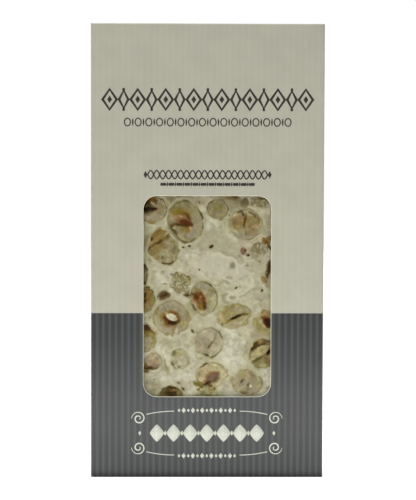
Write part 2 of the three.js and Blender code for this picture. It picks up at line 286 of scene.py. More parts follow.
@dataclass
class Graph:
    """Short calls that add nodes to one node tree."""

    tree: Tree

    def node(self, kind: str, inputs: Inputs | None = None, **settings: object) -> Node:
        """Adds a node of a kind, sets its properties and feeds its inputs."""
        made = self.tree.nodes.new(kind)
        for name, value in settings.items():
            setattr(made, name, value)
        self.feed(made, inputs or {})
        return made

    def feed(self, node: Node, inputs: Inputs) -> None:
        """Links a socket into each input that is named or numbered, or sets a plain value on it."""
        for name, value in inputs.items():
            if isinstance(value, Socket):
                self.tree.links.new(value, node.inputs[name])
            else:
                node.inputs[name].default_value = value

    def math(self, operation: str, a: object, b: object) -> Socket:
        """Adds a Math node and returns its value."""
        return self.node("ShaderNodeMath", {0: a, 1: b}, operation=operation).outputs[0]

    def mix(self, share: object, a: object, b: object) -> Socket:
        """Adds a colour Mix node and returns its colour."""
        return self.node("ShaderNodeMix", {0: share, 6: a, 7: b}, data_type="RGBA").outputs[2]

    def ramp(
        self, value: object, low: object, high: object, start: object = 0.0, end: object = 1.0,
    ) -> Socket:
        """Maps low to high smoothly on to start to end, with the ends held."""
        inputs = dict(enumerate((value, low, high, start, end)))
        return self.node("ShaderNodeMapRange", inputs, interpolation_type="SMOOTHSTEP").outputs[0]

    def spread(self, noise: Socket, start: float, end: float) -> Socket:
        """Maps the usual range of a noise on to start to end."""
        return self.ramp(noise, NOISE_LOW, NOISE_HIGH, start, end)

    def scaled(self, colour: Socket, amount: Socket) -> Socket:
        """Multiplies a colour by an amount."""
        return self.node("ShaderNodeVectorMath", {0: colour, "Scale": amount}, operation="SCALE").outputs[0]

    def mapped(self, vector: Socket, scale: Sequence[float], place: Sequence[float] = (0, 0, 0)) -> Socket:
        """Adds a Mapping node that stretches coordinates and moves them."""
        inputs = {"Vector": vector, "Scale": scale, "Location": place}
        return self.node("ShaderNodeMapping", inputs).outputs[0]

    def noise(self, vector: Socket, scale: float, detail: float, rough: float = 0.5) -> Socket:
        """Adds a Noise Texture and returns its value, about 0.5 in the middle."""
        inputs = {"Vector": vector, "Scale": scale, "Detail": detail, "Roughness": rough}
        return self.node("ShaderNodeTexNoise", inputs).outputs[0]

    def mark(self, name: str, output: str = "Fac") -> Socket:
        """Reads a value or a colour that the mesh carries at its points."""
        return self.node("ShaderNodeAttribute", attribute_name=name).outputs[output]

    def place(self) -> Socket:
        """Object coordinates, in metres."""
        return self.node("ShaderNodeTexCoord").outputs["Object"]

    def use(self, group: Tree, **inputs: object) -> Node:
        """Places a node group and feeds its inputs by name."""
        return self.node("ShaderNodeGroup", inputs, node_tree=group)

    def bump(self, height: Socket, depth_mm: float) -> Socket:
        """Adds a Bump node whose height of 1 stands depth_mm out of the surface."""
        return self.node("ShaderNodeBump", {"Distance": depth_mm * MM, "Height": height}).outputs[0]


def new_group(name: str, inputs: dict[str, str], outputs: Sequence[str]) -> tuple[Graph, Outputs, Node]:
    """Starts a shader node group.

    Args:
        name: Name of the group.
        inputs: Kind of each input socket by name: Float, Color or Vector.
        outputs: Names of the output sockets, each a Float.

    Returns:
        A Graph on the group, the values given to it and the node that takes what it gives.
    """
    group = bpy.data.node_groups.new(name, "ShaderNodeTree")
    for sockets, way in ((inputs, "INPUT"), (dict.fromkeys(outputs, "Float"), "OUTPUT")):
        for socket, kind in sockets.items():
            group.interface.new_socket(socket, in_out=way, socket_type=f"NodeSocket{kind}")
    g = Graph(group)
    return g, g.node("NodeGroupInput").outputs, g.node("NodeGroupOutput")


class SharedEffects:
    """Effects that several finishes use, each a node group that is built once."""

    def __init__(self) -> None:
        """Builds the groups."""
        self.paper_grain = self._paper_grain()
        self.upright_lines = self._upright_lines()
        self.worn_edge = self._worn_edge()
        self.crumb = self._crumb()

    def _paper_grain(self) -> Tree:
        """Felted paper fibres: stretched fine noise for height, broad noise for slightly uneven ink."""
        g, given, out = new_group("paper_grain", {"Place": "Vector"}, ["Height", "Shade"])
        across = g.noise(g.mapped(given["Place"], (1, 1, 0.4)), scale=5200, detail=3, rough=0.6)
        moved = g.mapped(given["Place"], (0.45, 0.45, 1), place=(0.31, 0.17, 0.2))
        along = g.noise(moved, scale=3900, detail=3, rough=0.6)
        uneven = g.noise(given["Place"], scale=110, detail=4, rough=0.55)
        g.feed(out, {"Height": g.math("ADD", across, along), "Shade": uneven})
        return g.tree

    def _upright_lines(self) -> Tree:
        """Printed lines: places folded about the middle of their pitch are ink up to a share of it."""
        names = ("Across", "Pitch", "Phase", "Share", "Soft")
        g, given, out = new_group("upright_lines", dict.fromkeys(names, "Float"), ["Line"])
        step = g.math("DIVIDE", g.math("SUBTRACT", given["Across"], given["Phase"]), given["Pitch"])
        off = g.math("MULTIPLY", g.math("PINGPONG", step, 0.5), 2.0)
        start = g.math("SUBTRACT", given["Share"], given["Soft"])
        stop = g.math("ADD", given["Share"], given["Soft"])
        g.feed(out, {"Line": g.ramp(off, start, stop, 1.0, 0.0)})
        return g.tree

    def _worn_edge(self) -> Tree:
        """Rubbed creases: a mark of how near the edge is, broken up by noise and cut off at a level."""
        sockets = {"Place": "Vector", "Edge": "Float", "Amount": "Float"}
        g, given, out = new_group("worn_edge", sockets, ["Mask"])
        patches = g.noise(given["Place"], scale=900, detail=4, rough=0.65)
        level = g.math("ADD", g.math("MULTIPLY", given["Edge"], given["Amount"]), patches)
        g.feed(out, {"Mask": g.ramp(level, low=0.95, high=1.25)})
        return g.tree

    def _crumb(self) -> Tree:
        """Crumbly food: grains at two sizes for height, coarse mottling for shade."""
        g, given, out = new_group("crumb", {"Place": "Vector"}, ["Height", "Shade"])
        coarse = g.noise(given["Place"], scale=900, detail=5, rough=0.62)
        fine = g.noise(given["Place"], scale=3400, detail=3, rough=0.6)
        height = g.math("ADD", coarse, g.math("MULTIPLY", fine, 0.5))
        g.feed(out, {"Height": height, "Shade": g.noise(given["Place"], scale=620, detail=5, rough=0.68)})
        return g.tree


def new_material(name: str) -> tuple[Material, Graph, Node]:
    """Starts a material and returns it, a Graph on it and its Principled BSDF."""
    made = bpy.data.materials.new(name)
    made.use_nodes = True
    return made, Graph(made.node_tree), made.node_tree.nodes["Principled BSDF"]


# ---- finishes


class Axis(Enum):
    """Direction across the printed lines of a panel."""

    X = 0
    Y = 1


@dataclass(frozen=True)
class PrintedBoard:
    """Coated board printed pale above and dark below, with fine upright lines in both fields and a painted
    sheen low on the dark field.
    """

    name: str
    across: Axis
    line_phase_mm: float
    line_pitch_mm: float = 2.297
    line_share: float = 0.38
    line_soft: float = 0.34
    band_mm: float = 60.5
    band_soft_mm: float = 0.04
    # painted sheen on the dark field, heights in millimetres: where it starts, where it is clear of the
    # foot, where it is full and where it ends, then its share
    painted_sheen_start_mm: float = -4.0
    painted_sheen_clear_mm: float = 22.0
    painted_sheen_full_mm: float = 24.0
    painted_sheen_end_mm: float = 60.0
    painted_sheen: float = 0.12
    uneven: float = 0.03
    wear: float = 0.52
    worn_share: float = 0.5
    relief_mm: float = 0.012
    pale: Colour = linear(166, 164, 148)
    pale_line: Colour = linear(168, 166, 150)
    dark: Colour = linear(44, 46, 45)
    dark_line: Colour = linear(65, 67, 66)
    dark_painted_sheen: Colour = linear(130, 132, 130)
    core: Colour = linear(206, 204, 196)
    roughness: float = 0.36
    index: float = 1.43

    def material(self, effects: SharedEffects) -> Material:
        """Builds the material from Object coordinates and the mark of the creases.

        Args:
            effects: The shared node groups.

        Returns:
            The material.
        """
        made, g, shader = new_material(self.name)
        place = g.place()
        parts = g.node("ShaderNodeSeparateXYZ", {0: place})
        height = parts.outputs[2]
        grain = g.use(effects.paper_grain, Place=place).outputs
        lines = g.use(
            effects.upright_lines, Across=g.math("MULTIPLY", parts.outputs[self.across.value], 1 / MM),
            Pitch=self.line_pitch_mm, Phase=self.line_phase_mm, Share=self.line_share, Soft=self.line_soft,
        ).outputs["Line"]
        soft = self.band_soft_mm
        above = g.ramp(height, (self.band_mm - soft) * MM, (self.band_mm + soft) * MM)
        pale, dark = g.mix(lines, self.pale, self.pale_line), g.mix(lines, self.dark, self.dark_line)
        # painted sheen: the dark field is lightened most at about 22 to 24 mm up, fading out by 60 mm and
        # towards the foot, standing in for the bright floor reflected in the board
        painted_sheen_fade_top = g.ramp(height, self.painted_sheen_end_mm * MM, self.painted_sheen_full_mm * MM, 0.0, self.painted_sheen)
        painted_sheen_fade_foot = g.ramp(height, self.painted_sheen_start_mm * MM, self.painted_sheen_clear_mm * MM)
        dark = g.mix(g.math("MULTIPLY", painted_sheen_fade_top, painted_sheen_fade_foot), dark, self.dark_painted_sheen)
        shade = g.spread(grain["Shade"], 1 - self.uneven, 1 + self.uneven)
        tinted = g.scaled(g.mix(above, dark, pale), shade)
        worn = g.use(effects.worn_edge, Place=place, Edge=g.mark("edge"), Amount=self.wear).outputs["Mask"]
        bare = g.math("MULTIPLY", worn, self.worn_share)
        g.feed(shader, {
            "Base Color": g.mix(bare, tinted, self.core),
            "Roughness": g.ramp(grain["Height"], 0.7, 1.3, self.roughness - 0.04, self.roughness + 0.06),
            "Normal": g.bump(grain["Height"], self.relief_mm),
            "IOR": self.index,
        })
        return made


@dataclass(frozen=True)
class Fibrous:
    """Board without coating, or ink on it: a colour broken up by the grain of the board."""

    name: str
    colour: Colour
    fleck: Colour
    roughness: float = 0.75
    relief_mm: float = 0.03
    index: float = 1.4

    def material(self, effects: SharedEffects) -> Material:
        """Builds the material from the shared paper grain."""
        made, g, shader = new_material(self.name)
        grain = g.use(effects.paper_grain, Place=g.place()).outputs["Height"]
        g.feed(shader, {
            "Base Color": g.mix(g.ramp(grain, 0.8, 1.15), self.fleck, self.colour),
            "Roughness": self.roughness,
            "Normal": g.bump(grain, self.relief_mm),
            "IOR": self.index,
        })
        return made


@dataclass(frozen=True)
class ClearFilm:
    """Thin clear film with a faint, uneven gloss."""

    name: str = "clear_film"
    smoothest: float = 0.012
    roughness: float = 0.03
    index: float = 1.06

    def material(self) -> Material:
        """Builds the film as clear stuff that hardly bends the light."""
        made, g, shader = new_material(self.name)
        ripple = g.noise(g.mapped(g.place(), (1, 1, 0.5)), scale=60, detail=3)
        g.feed(shader, {
            "Base Color": (1, 1, 1, 1),
            "Transmission Weight": 1.0,
            "Roughness": g.spread(ripple, self.smoothest, self.roughness),
            "IOR": self.index,
        })
        return made


@dataclass(frozen=True)
class Food:
    """Nougat or nut: the colours that the mesh carries, mottled finely, with a crumbly relief."""

    name: str
    relief_mm: float
    mottle: float
    roughness: float = 0.55
    wet_roughness: float = 0.4
    wet_relief: float = 0.2
    glow: float = 0.2
    glow_reach: tuple[float, float, float] = (1.0, 0.8, 0.55)
    glow_mm: float = 1.0
    index: float = 1.16

    def material(self, effects: SharedEffects) -> Material:
        """Builds the material from the shared crumb and the marks paint and wet."""
        made, g, shader = new_material(self.name)
        crumb = g.use(effects.crumb, Place=g.place()).outputs
        wet = g.mark("wet")
        shade = g.spread(crumb["Shade"], 1 - self.mottle, 1 + self.mottle)
        gloss = g.ramp(wet, 0, 1, self.roughness, self.wet_roughness)
        height = g.math("MULTIPLY", crumb["Height"], g.ramp(wet, 0, 1, 1, self.wet_relief))
        g.feed(shader, {
            "Base Color": g.scaled(g.mark("paint", "Color"), shade),
            "Roughness": gloss,
            "Normal": g.bump(height, self.relief_mm),
            "Subsurface Weight": self.glow,
            "Subsurface Radius": self.glow_reach,
            "Subsurface Scale": self.glow_mm * MM,
            "IOR": self.index,
        })
        return made


# ---- carton


@dataclass
class CartonBoard:
    """Sizes that all panels of the carton share, in millimetres."""

    low: Array
    high: Array
    thick: float = 0.5
    crease: float = 0.8
    slit: float = 0.3
    bow: float = 0.12

    @property
    def half(self) -> float:
        """Half the carton's width."""
        return float(self.high[0])

    @property
    def front(self) -> float:
        """Plane of the front panel's outer face."""
        return float(self.low[1])

    @property
    def back(self) -> float:
        """Plane of the back panel's outer face."""
        return float(self.high[1])

    @property
    def height(self) -> float:
        """Height of the carton."""
        return float(self.high[2])

    def swell(self, x: Array, z: Array) -> Array:
        """How far a broad panel bellies out: a half wave of cosine each way."""
        up = np.clip(z / self.height, 0, 1)
        return self.bow * np.cos(np.pi * x / (2 * self.half)) * np.sin(np.pi * up)

    def roll(self, along: Array, half: float, radius: float) -> tuple[Array, Array]:
        """Takes a length along the board from a panel's middle round the crease at its edge.

        Straight to the start of the crease, then round a quarter circle, so that at an angle t the
        board has come radius sin t across and radius (1 - cos t) back.

        Args:
            along: Lengths along the board, less than none on the other side.
            half: Half the panel's width, outside the crease.
            radius: Radius of the crease.

        Returns:
            The distances across and back.
        """
        flat = half - radius
        angle = np.clip((np.abs(along) - flat) / radius, 0, np.pi / 2)
        across = np.minimum(np.abs(along), flat) + radius * np.sin(angle)
        return np.sign(along) * across, radius * (1 - np.cos(angle))

    def rolled_reach(self, half: float, radius: float) -> float:
        """Length along the board from a panel's middle to the end of its crease."""
        return half - radius + radius * np.pi / 2


@dataclass
class WindowShape:
    """Rounded rectangle of the window, in millimetres."""

    half_width: float = 23.3
    bottom: float = 29.8
    top: float = 103.4
    radius: float = 5.0
    corner_share: float = 0.3

    def outline(self, per_side: int, grow: float) -> Array:
        """Points round the window in four equal runs, one for each side.

        Along a side a parameter runs from -1 to 1. In its middle stretch the point moves straight, and
        in its outer corner_share it turns through 45 degrees of the corner's arc.

        Args:
            per_side: Points in each run.
            grow: How far outside the window the outline lies.

        Returns:
            Points as x and z, four times per_side by 2.
        """
        run = np.linspace(-1, 1, per_side, endpoint=False)
        straight = 1 - self.corner_share
        turn = np.clip((np.abs(run) - straight) / self.corner_share, 0, 1) * np.pi / 4
        reach = np.clip(np.abs(run) / straight, 0, 1)
        radius = self.radius + grow
        halves = (self.half_width, (self.top - self.bottom) / 2)
        sides = []
        for quarter in range(4):
            along, out = halves[quarter % 2], halves[(quarter + 1) % 2]
            u = np.sign(run) * (reach * (along - self.radius) + radius * np.sin(turn))
            v = -(out - self.radius + radius * np.cos(turn))
            c, s = math.cos(quarter * math.pi / 2), math.sin(quarter * math.pi / 2)
            sides.append(np.stack([u * c - v * s, u * s + v * c + (self.top + self.bottom) / 2], -1))
        return np.concatenate(sides)


@dataclass
class Carton:
    """The folded and glued board: front with its window, two sides, back, and the two tucked ends."""

    board: CartonBoard
    window: WindowShape
    per_side: int = 88
    rows: int = 56
    cut_width: float = 0.14
    lip_depth: float = 0.16
    overlap: float = 0.02
    tuck: float = 12.0
    tuck_corner: float = 5.0
    tuck_slack: float = 0.6
    flap: float = 13.0
    flap_gap: float = 0.06
    side_gap: float = 0.04
    back_gap: float = 0.05
    back_hem: float = 0.2
    crisp: float = 50.0
    mark_gain: float = 1.3
    mark_start: float = 1.1
    mark_full: float = 0.4

    def dress(self, name: str, part: Part, finish: Material, edge: Array) -> None:
        """Makes a piece of the carton with a mark of how near each point is to a crease."""
        make_piece(name, part, finish, ["carton"], {"edge": edge}, self.crisp)

    def front_piece(self, finish: Material) -> None:
        """Front panel with the creases all round it, ruled from the window's outline to its own edge.

        The rows crowd towards the edge: row q of 0 to 1 lies at the share 1 - (1 - q)^2 of the way.
        """
        board = self.board
        run = np.linspace(-1, 1, self.per_side, endpoint=False)
        one = np.ones(self.per_side)
        sides = ((run, -one), (one, run), (-run, one), (-one, -run))
        square = np.concatenate([np.stack(side, -1) for side in sides])
        share = 1 - (1 - np.linspace(0, 1, self.rows)) ** 2
        middle = board.height / 2
        inside = self.window.outline(self.per_side, self.cut_width)
        faces, marks = [], []
        for inset in (0.0, board.thick):
            half, radius = board.half - inset, board.crease - inset
            reach = np.array([board.rolled_reach(half, radius), board.rolled_reach(middle - inset, radius)])
            outside = square * reach + np.array([0, middle])
            spot = inside[None] + (outside - inside)[None] * share[:, None, None]
            x, back_x = board.roll(spot[..., 0], half, radius)
            up, back_z = board.roll(spot[..., 1] - middle, middle - inset, radius)
            back = np.maximum(back_x, back_z)
            y = board.front + inset + back - board.swell(x, middle + up)
            faces.append(np.stack([x, y, middle + up], -1))
            marks.append(np.clip(self.mark_gain * np.sin(np.pi * back / radius), 0, 1).ravel())
        self.dress("carton_front", thick_sheet(*faces, True), finish, np.concatenate(marks))

    def cut_edge_piece(self, finish: Material) -> None:
        """Pale core of the board round the window: a rounded lip and the cut wall, along the outline."""
        board = self.board
        turn = np.linspace(0, np.pi / 2, 6)
        lip = self.cut_width * (1 - np.sin(turn))
        grow = np.append(lip, [-self.overlap, self.cut_width]) + self.overlap
        deep = np.append(self.lip_depth * (1 - np.cos(turn)), [board.thick, board.thick])
        rings = []
        for wide, depth in zip(grow, deep):
            x, z = self.window.outline(self.per_side, wide).T
            rings.append(np.stack([x, board.front + depth - board.swell(x, z), z], -1))
        points = np.concatenate(rings)
        count = self.per_side * 4
        loop = np.arange(count)
        faces = [grid_faces(len(rings), count, True), band_faces(loop, loop + len(points) - count)]
        make_piece("window_cut_edge", (points, faces), finish, ["carton"])

    def folded(self, corners: Array, folds: Sequence[int], steps: int) -> Array:
        """Runs a line through corner points, with a quarter circle of the crease's radius at each fold.

        Args:
            corners: Corner points of the line, n by 2.
            folds: Indices of the corners that are creased, each a right angle.
            steps: Points on each straight stretch.

        Returns:
            Points of the line.
        """
        radius = self.board.crease
        ways = np.diff(corners, axis=0) / np.linalg.norm(np.diff(corners, axis=0), axis=1)[:, None]
        share = np.linspace(0, 1, steps + 1)[1:, None]
        angle = np.linspace(0, np.pi / 2, 9)[1:, None]
        path = [corners[:1]]
        for k, way in enumerate(ways, start=1):
            stop = corners[k] - way * radius if k in folds else corners[k]
            path.append(path[-1][-1] + (stop - path[-1][-1]) * share)
            if k in folds:
                path.append(stop + radius * (way * np.sin(angle) + ways[k] * (1 - np.cos(angle))))
        return np.concatenate(path)

    def offset(self, path: Array, distance: float) -> Array:
        """Moves a line sideways, to the left of its direction, by a distance."""
        way = np.gradient(path, axis=0)
        way /= np.linalg.norm(way, axis=1, keepdims=True)
        return path + distance * np.stack([-way[:, 1], way[:, 0]], -1)

    def carried(self, path: Array, thick: float, across: Array, order: Sequence[int]) -> list[Array]:
        """Carries a line across a panel, together with its copy on the board's inner face.

        Args:
            path: Points of the line, n by 2.
            thick: Distance to the inner face, to the left of the line's direction.
            across: Places that each point of the line is carried to.
            order: Which of the line's two coordinates, or 2 for the place, becomes x, y and z.

        Returns:
            The points of both faces, rows by columns by 3.
        """
        faces = []
        for line in (path, self.offset(path, thick)):
            axes = np.broadcast_arrays(line[:, None, 0], line[:, None, 1], across)
            faces.append(np.stack([axes[k] for k in order], -1))
        return faces

    def folded_piece(
        self, name: str, faces: list[Array], path: Array, creases: Array, finish: Material,
    ) -> None:
        """Makes a piece of board from both its faces, its mark falling with the distance to a crease."""
        near = np.min([np.linalg.norm(path - crease, axis=1) for crease in creases], axis=0)
        edge = np.repeat(smoothstep(self.mark_start, self.mark_full, near), faces[0].shape[1])
        self.dress(name, thick_sheet(*faces, False), finish, np.concatenate([edge, edge]))

    def side_piece(self, side: int, finish: Material) -> None:
        """One side panel with a dust flap folded in at each end: a line in x and z carried along y."""
        board = self.board
        x = side * board.half
        low, high = board.thick + self.flap_gap, board.height - board.thick - self.flap_gap
        flap = x - side * self.flap
        corners = np.array([[flap, low], [x, low], [x, high], [flap, high]])
        path = self.folded(corners, (1, 2), steps=14)
        y = np.linspace(board.front + board.crease, board.back - board.thick - self.side_gap, 10)
        faces = self.carried(path, side * board.thick, y, (0, 2, 1))
        name = "carton_side_right" if side > 0 else "carton_side_left"
        self.folded_piece(name, faces, path, corners[1:3], finish)

    def back_piece(self, finish: Material) -> None:
        """Back panel, creased at one side, cut square at the glued side: a line in x and y carried up."""
        board = self.board
        right = board.half
        corners = np.array([
            [-right + self.back_gap, board.back], [right, board.back],
            [right, board.back - board.crease - self.back_hem],
        ])
        path = self.folded(corners, (1,), steps=24)
        faces = self.carried(path, -board.thick, np.linspace(0.0, board.height, 40), (0, 1, 2))
        for face in faces:
            x, y, z = np.moveaxis(face, -1, 0)
            square = np.clip((y - board.back + board.crease + board.thick) / board.crease, 0, 1)
            face[..., 1] = y + square * board.swell(x, z)
        self.folded_piece("carton_back", faces, path, corners[1:2], finish)

    def end_piece(self, top: bool, finish: Material) -> None:
        """End panel with its tuck flap inside the back: a line in y and z carried along x.

        Towards the flap's free edge the half width shrinks along a quarter circle of tuck_corner.
        """
        board = self.board
        level, way = (board.height, -1) if top else (0.0, 1)
        back = board.back - board.thick - board.slit
        start, end = board.front + board.crease, level + way * self.tuck
        corners = np.array([[start, level], [back, level], [back, end]])
        path = self.folded(corners, (1,), steps=12)
        drop = np.abs(path[:, 1] - level)
        half = board.half - board.thick - board.slit
        corner = self.tuck_corner
        deep = np.clip((drop - self.tuck + corner) / corner, 0, 1)
        rounded = half - self.tuck_slack - corner * (1 - np.sqrt(1 - deep**2))
        width = np.where(drop < board.crease, half, rounded)
        across = width[:, None] * np.linspace(-1, 1, 48)
        faces = self.carried(path, way * board.thick, across, (2, 0, 1))
        self.folded_piece("carton_top" if top else "carton_base", faces, path, corners[1:2], finish)

    def build(self, effects: SharedEffects) -> None:
        """Builds and dresses every panel."""
        broad = PrintedBoard("board_front", Axis.X, line_phase_mm=-37.9).material(effects)
        narrow = PrintedBoard("board_side", Axis.Y, line_phase_mm=0.0).material(effects)
        cut = Fibrous("board_cut", linear(238, 234, 214), linear(224, 220, 198)).material(effects)
        self.front_piece(broad)
        self.cut_edge_piece(cut)
        self.back_piece(broad)
        for side in (-1, 1):
            self.side_piece(side, narrow)
        for top in (True, False):
            self.end_piece(top, broad)


@dataclass
class WindowFilm:
    """Clear film glued behind the front panel, with a faint slack ripple."""

    low: Array
    high: Array
    thick: float = 0.08
    ripple: float = 0.03
    columns: int = 60
    rows: int = 84

    def build(self) -> None:
        """Makes the film as a thin sheet whose height is two slow crossing waves."""
        across = np.linspace(self.low[0], self.high[0], self.columns)
        up = np.linspace(self.low[2], self.high[2], self.rows)
        u, v = np.meshgrid(across, up, indexing="ij")
        wave = self.ripple * np.sin(0.21 * u + 0.05 * v) * np.sin(0.13 * v - 0.07 * u + 1.0)
        y = (self.low[1] + self.high[1]) / 2 + wave
        faces = [np.stack([u, y + side * self.thick / 2, v], -1) for side in (-1, 1)]
        sheet = thick_sheet(*faces, False)
        piece = make_piece("clear_window_film", sheet, ClearFilm().material(), ["window_film"])
        piece.visible_shadow = False
        piece.visible_diffuse = False


# ---- front ornaments


@dataclass
class FrontOrnaments:
    """Plain printed ornaments on the front panel, each a thin layer of ink, in millimetres."""

    board: CartonBoard
    ink: float = 0.02

    def on_panel(self, x: Array, z: Array, side: int) -> Array:
        """Points at the panel's surface, the ink's thickness in front for side -1 and behind for 1."""
        return np.stack([x, self.board.front - self.board.swell(x, z) + side * self.ink, z], -1)

    def ribbon(self, path: Array, half_width: Array | float) -> Part:
        """A band of ink along a line, half_width to each side of it."""
        way = np.gradient(path, axis=0)
        way /= np.maximum(np.linalg.norm(way, axis=1, keepdims=True), 1e-9)
        across = np.stack([-way[:, 1], way[:, 0]], -1) * np.broadcast_to(half_width, len(path))[:, None]
        x, z = np.moveaxis(np.stack([path - across, path, path + across], 1), -1, 0)
        return thick_sheet(self.on_panel(x, z, -1), self.on_panel(x, z, 1), False)

    def ring(self, x: float, z: float, wide: float, high: float, power: float) -> tuple[Array, Array]:
        """Outline |x/w|^p + |z/h|^p = 1 round a point: a lozenge for p = 1, an oval for p = 2."""
        angle = np.linspace(0, 2 * np.pi, 48, endpoint=False)
        reach = (np.abs(np.cos(angle)) ** power + np.abs(np.sin(angle)) ** power) ** (-1 / power)
        return x + np.cos(angle) * reach * wide, z + np.sin(angle) * reach * high

    def loop(self, x: float, z: float, wide: float, high: float, power: float, line: float) -> Part:
        """A closed line of ink along the outline that ring gives, line wide inwards."""
        outlines = [self.ring(x, z, wide - inset, high - inset, power) for inset in (0.0, line)]
        xs, zs = (np.stack(axis) for axis in zip(*outlines))
        return thick_sheet(self.on_panel(xs, zs, -1), self.on_panel(xs, zs, 1), True)

    def spot(self, x: float, z: float, wide: float, high: float, power: float = OVAL) -> Part:
        """A filled shape inside the outline that ring gives, as a fan from its middle."""
        outline = self.ring(x, z, wide, high, power)
        rings = np.stack([self.on_panel(*outline, side) for side in (-1, 1)])
        return ring_solid(rings, *(self.on_panel(np.array(x), np.array(z), side) for side in (-1, 1)))

    def title_frieze(self) -> list[Part]:
        """A row of tall lozenges by turns wide and narrow, the wide ones with a smaller one inside."""
        parts = []
        count, span, z = 15, 76.4, 138.4
        pitch = span / count
        for k in range(count):
            x = -span / 2 + (k + 0.5) * pitch
            if k % 2:
                parts.append(self.loop(x, z, wide=2.2, high=3.7, power=LOZENGE, line=1.05))
                parts += [self.spot(x, z + lift * 3.6, 0.5, 0.62) for lift in (-1, 1)]
            else:
                parts.append(self.loop(x, z, wide=3.1, high=4.25, power=LOZENGE, line=1.1))
                parts.append(self.spot(x, z, 0.9, 1.4, LOZENGE))
        return parts

    def bead_row(self) -> list[Part]:
        """A row of rings and bars by turns."""
        parts = []
        count, span, z = 31, 58.4, 130.2
        for k in range(count):
            x = -span / 2 + span * k / (count - 1)
            if k % 2:
                parts.append(self.spot(x, z, wide=0.3, high=1.45, power=1.4))
            else:
                parts.append(self.loop(x, z, wide=1.3, high=1.6, power=OVAL, line=0.42))
        return parts

    def wave_rule(self) -> list[Part]:
        """Two crossing sine waves between small end lozenges."""
        span, z, lift, length = 43.6, 111.1, 1.5, 4.36
        x = np.linspace(-span / 2, span / 2, 420)
        parts = []
        for side in (-1, 1):
            path = np.stack([x, z + side * lift * np.sin(2 * np.pi * x / length)], -1)
            parts.append(self.ribbon(path, half_width=0.24))
            parts.append(self.spot(side * (span / 2 + 0.8), z, 0.7, 1.4, LOZENGE))
        return parts

    def dash_rule(self) -> list[Part]:
        """A rule of dashes with small lozenges between."""
        span, count, z, boxy = 35.2, 12, 107.6, 6.0
        pitch = span / count
        start = -span / 2
        dashes = [self.spot(start + (k + 0.5) * pitch, z, 0.36 * pitch, 0.55, boxy) for k in range(count)]
        return dashes + [self.spot(start + k * pitch, z, 0.34, 1.0, LOZENGE) for k in range(1, count)]

    def scroll(self, x: float, z: float, size: float, side: int, lift: int) -> Part:
        """A C-scroll: a spiral whose radius shrinks evenly with the angle, tapered at both ends.

        Args:
            x: Middle of the spiral across the panel.
            z: Middle of the spiral up the panel.
            size: Radius at its outer end.
            side: 1 to start on the right, -1 on the left.
            lift: 1 to turn upward, -1 downward.

        Returns:
            The ribbon of ink.
        """
        turn = np.linspace(0, 3.3 * np.pi, 130)
        radius = size * (1 - 0.86 * turn / turn[-1])
        path = np.stack([x + side * radius * np.cos(turn), z + lift * radius * np.sin(turn)], -1)
        thin, swell = 0.09, 0.16
        return self.ribbon(path, thin + swell * np.sin(np.pi * np.linspace(0, 1, len(turn))))

    def cartouche(self) -> list[Part]:
        """Linked bold lozenges between scrolls, with a bead row and two bowed lines above and below."""
        z, pitch, count = 16.35, 6.1, 7
        beads, bead_span, bead_lift = 13, 20.4, 8.4
        parts = [self.spot((k - (count - 1) / 2) * pitch, z, 2.6, 3.2, 1.2) for k in range(count)]
        parts += [self.spot((k - (count - 2) / 2) * pitch, z, 0.6, 1.0, LOZENGE) for k in range(count - 1)]
        share = np.linspace(0, 1, 40)
        for side in (-1, 1):
            parts.append(self.spot(side * 24.6, z, 0.55, 0.9, LOZENGE))
            for lift in (-1, 1):
                parts.append(self.scroll(side * 25.0, z + lift * 5.4, 2.6, side, lift))
                bowed = np.stack([side * (12.0 + 10.2 * share), z + lift * (8.1 - 1.2 * share**2)], -1)
                parts.append(self.ribbon(bowed, half_width=0.15))
        for lift in (-1, 1):
            for k in range(beads):
                wide, power = ((0.42, OVAL), (0.8, LOZENGE))[k % 2]
                x = bead_span * (k / (beads - 1) - 0.5)
                parts.append(self.spot(x, z + lift * bead_lift, wide, wide * 1.3, power))
        return parts

    def build(self, effects: SharedEffects) -> None:
        """Builds and dresses every ornament."""
        surface = {"roughness": 0.5, "relief_mm": 0.012}
        brown = Fibrous("ink_brown", linear(34, 30, 24), linear(46, 42, 34), **surface)
        cream = Fibrous("ink_cream", linear(200, 203, 188), linear(176, 178, 166), **surface)
        brown, cream = brown.material(effects), cream.material(effects)
        for shape in (self.title_frieze, self.bead_row, self.wave_rule, self.dash_rule):
            make_piece(f"print_{shape.__name__}", joined(shape()), brown, ["carton"])
        make_piece("print_cartouche", joined(self.cartouche()), cream, ["carton"])


# ---- colours on cut faces


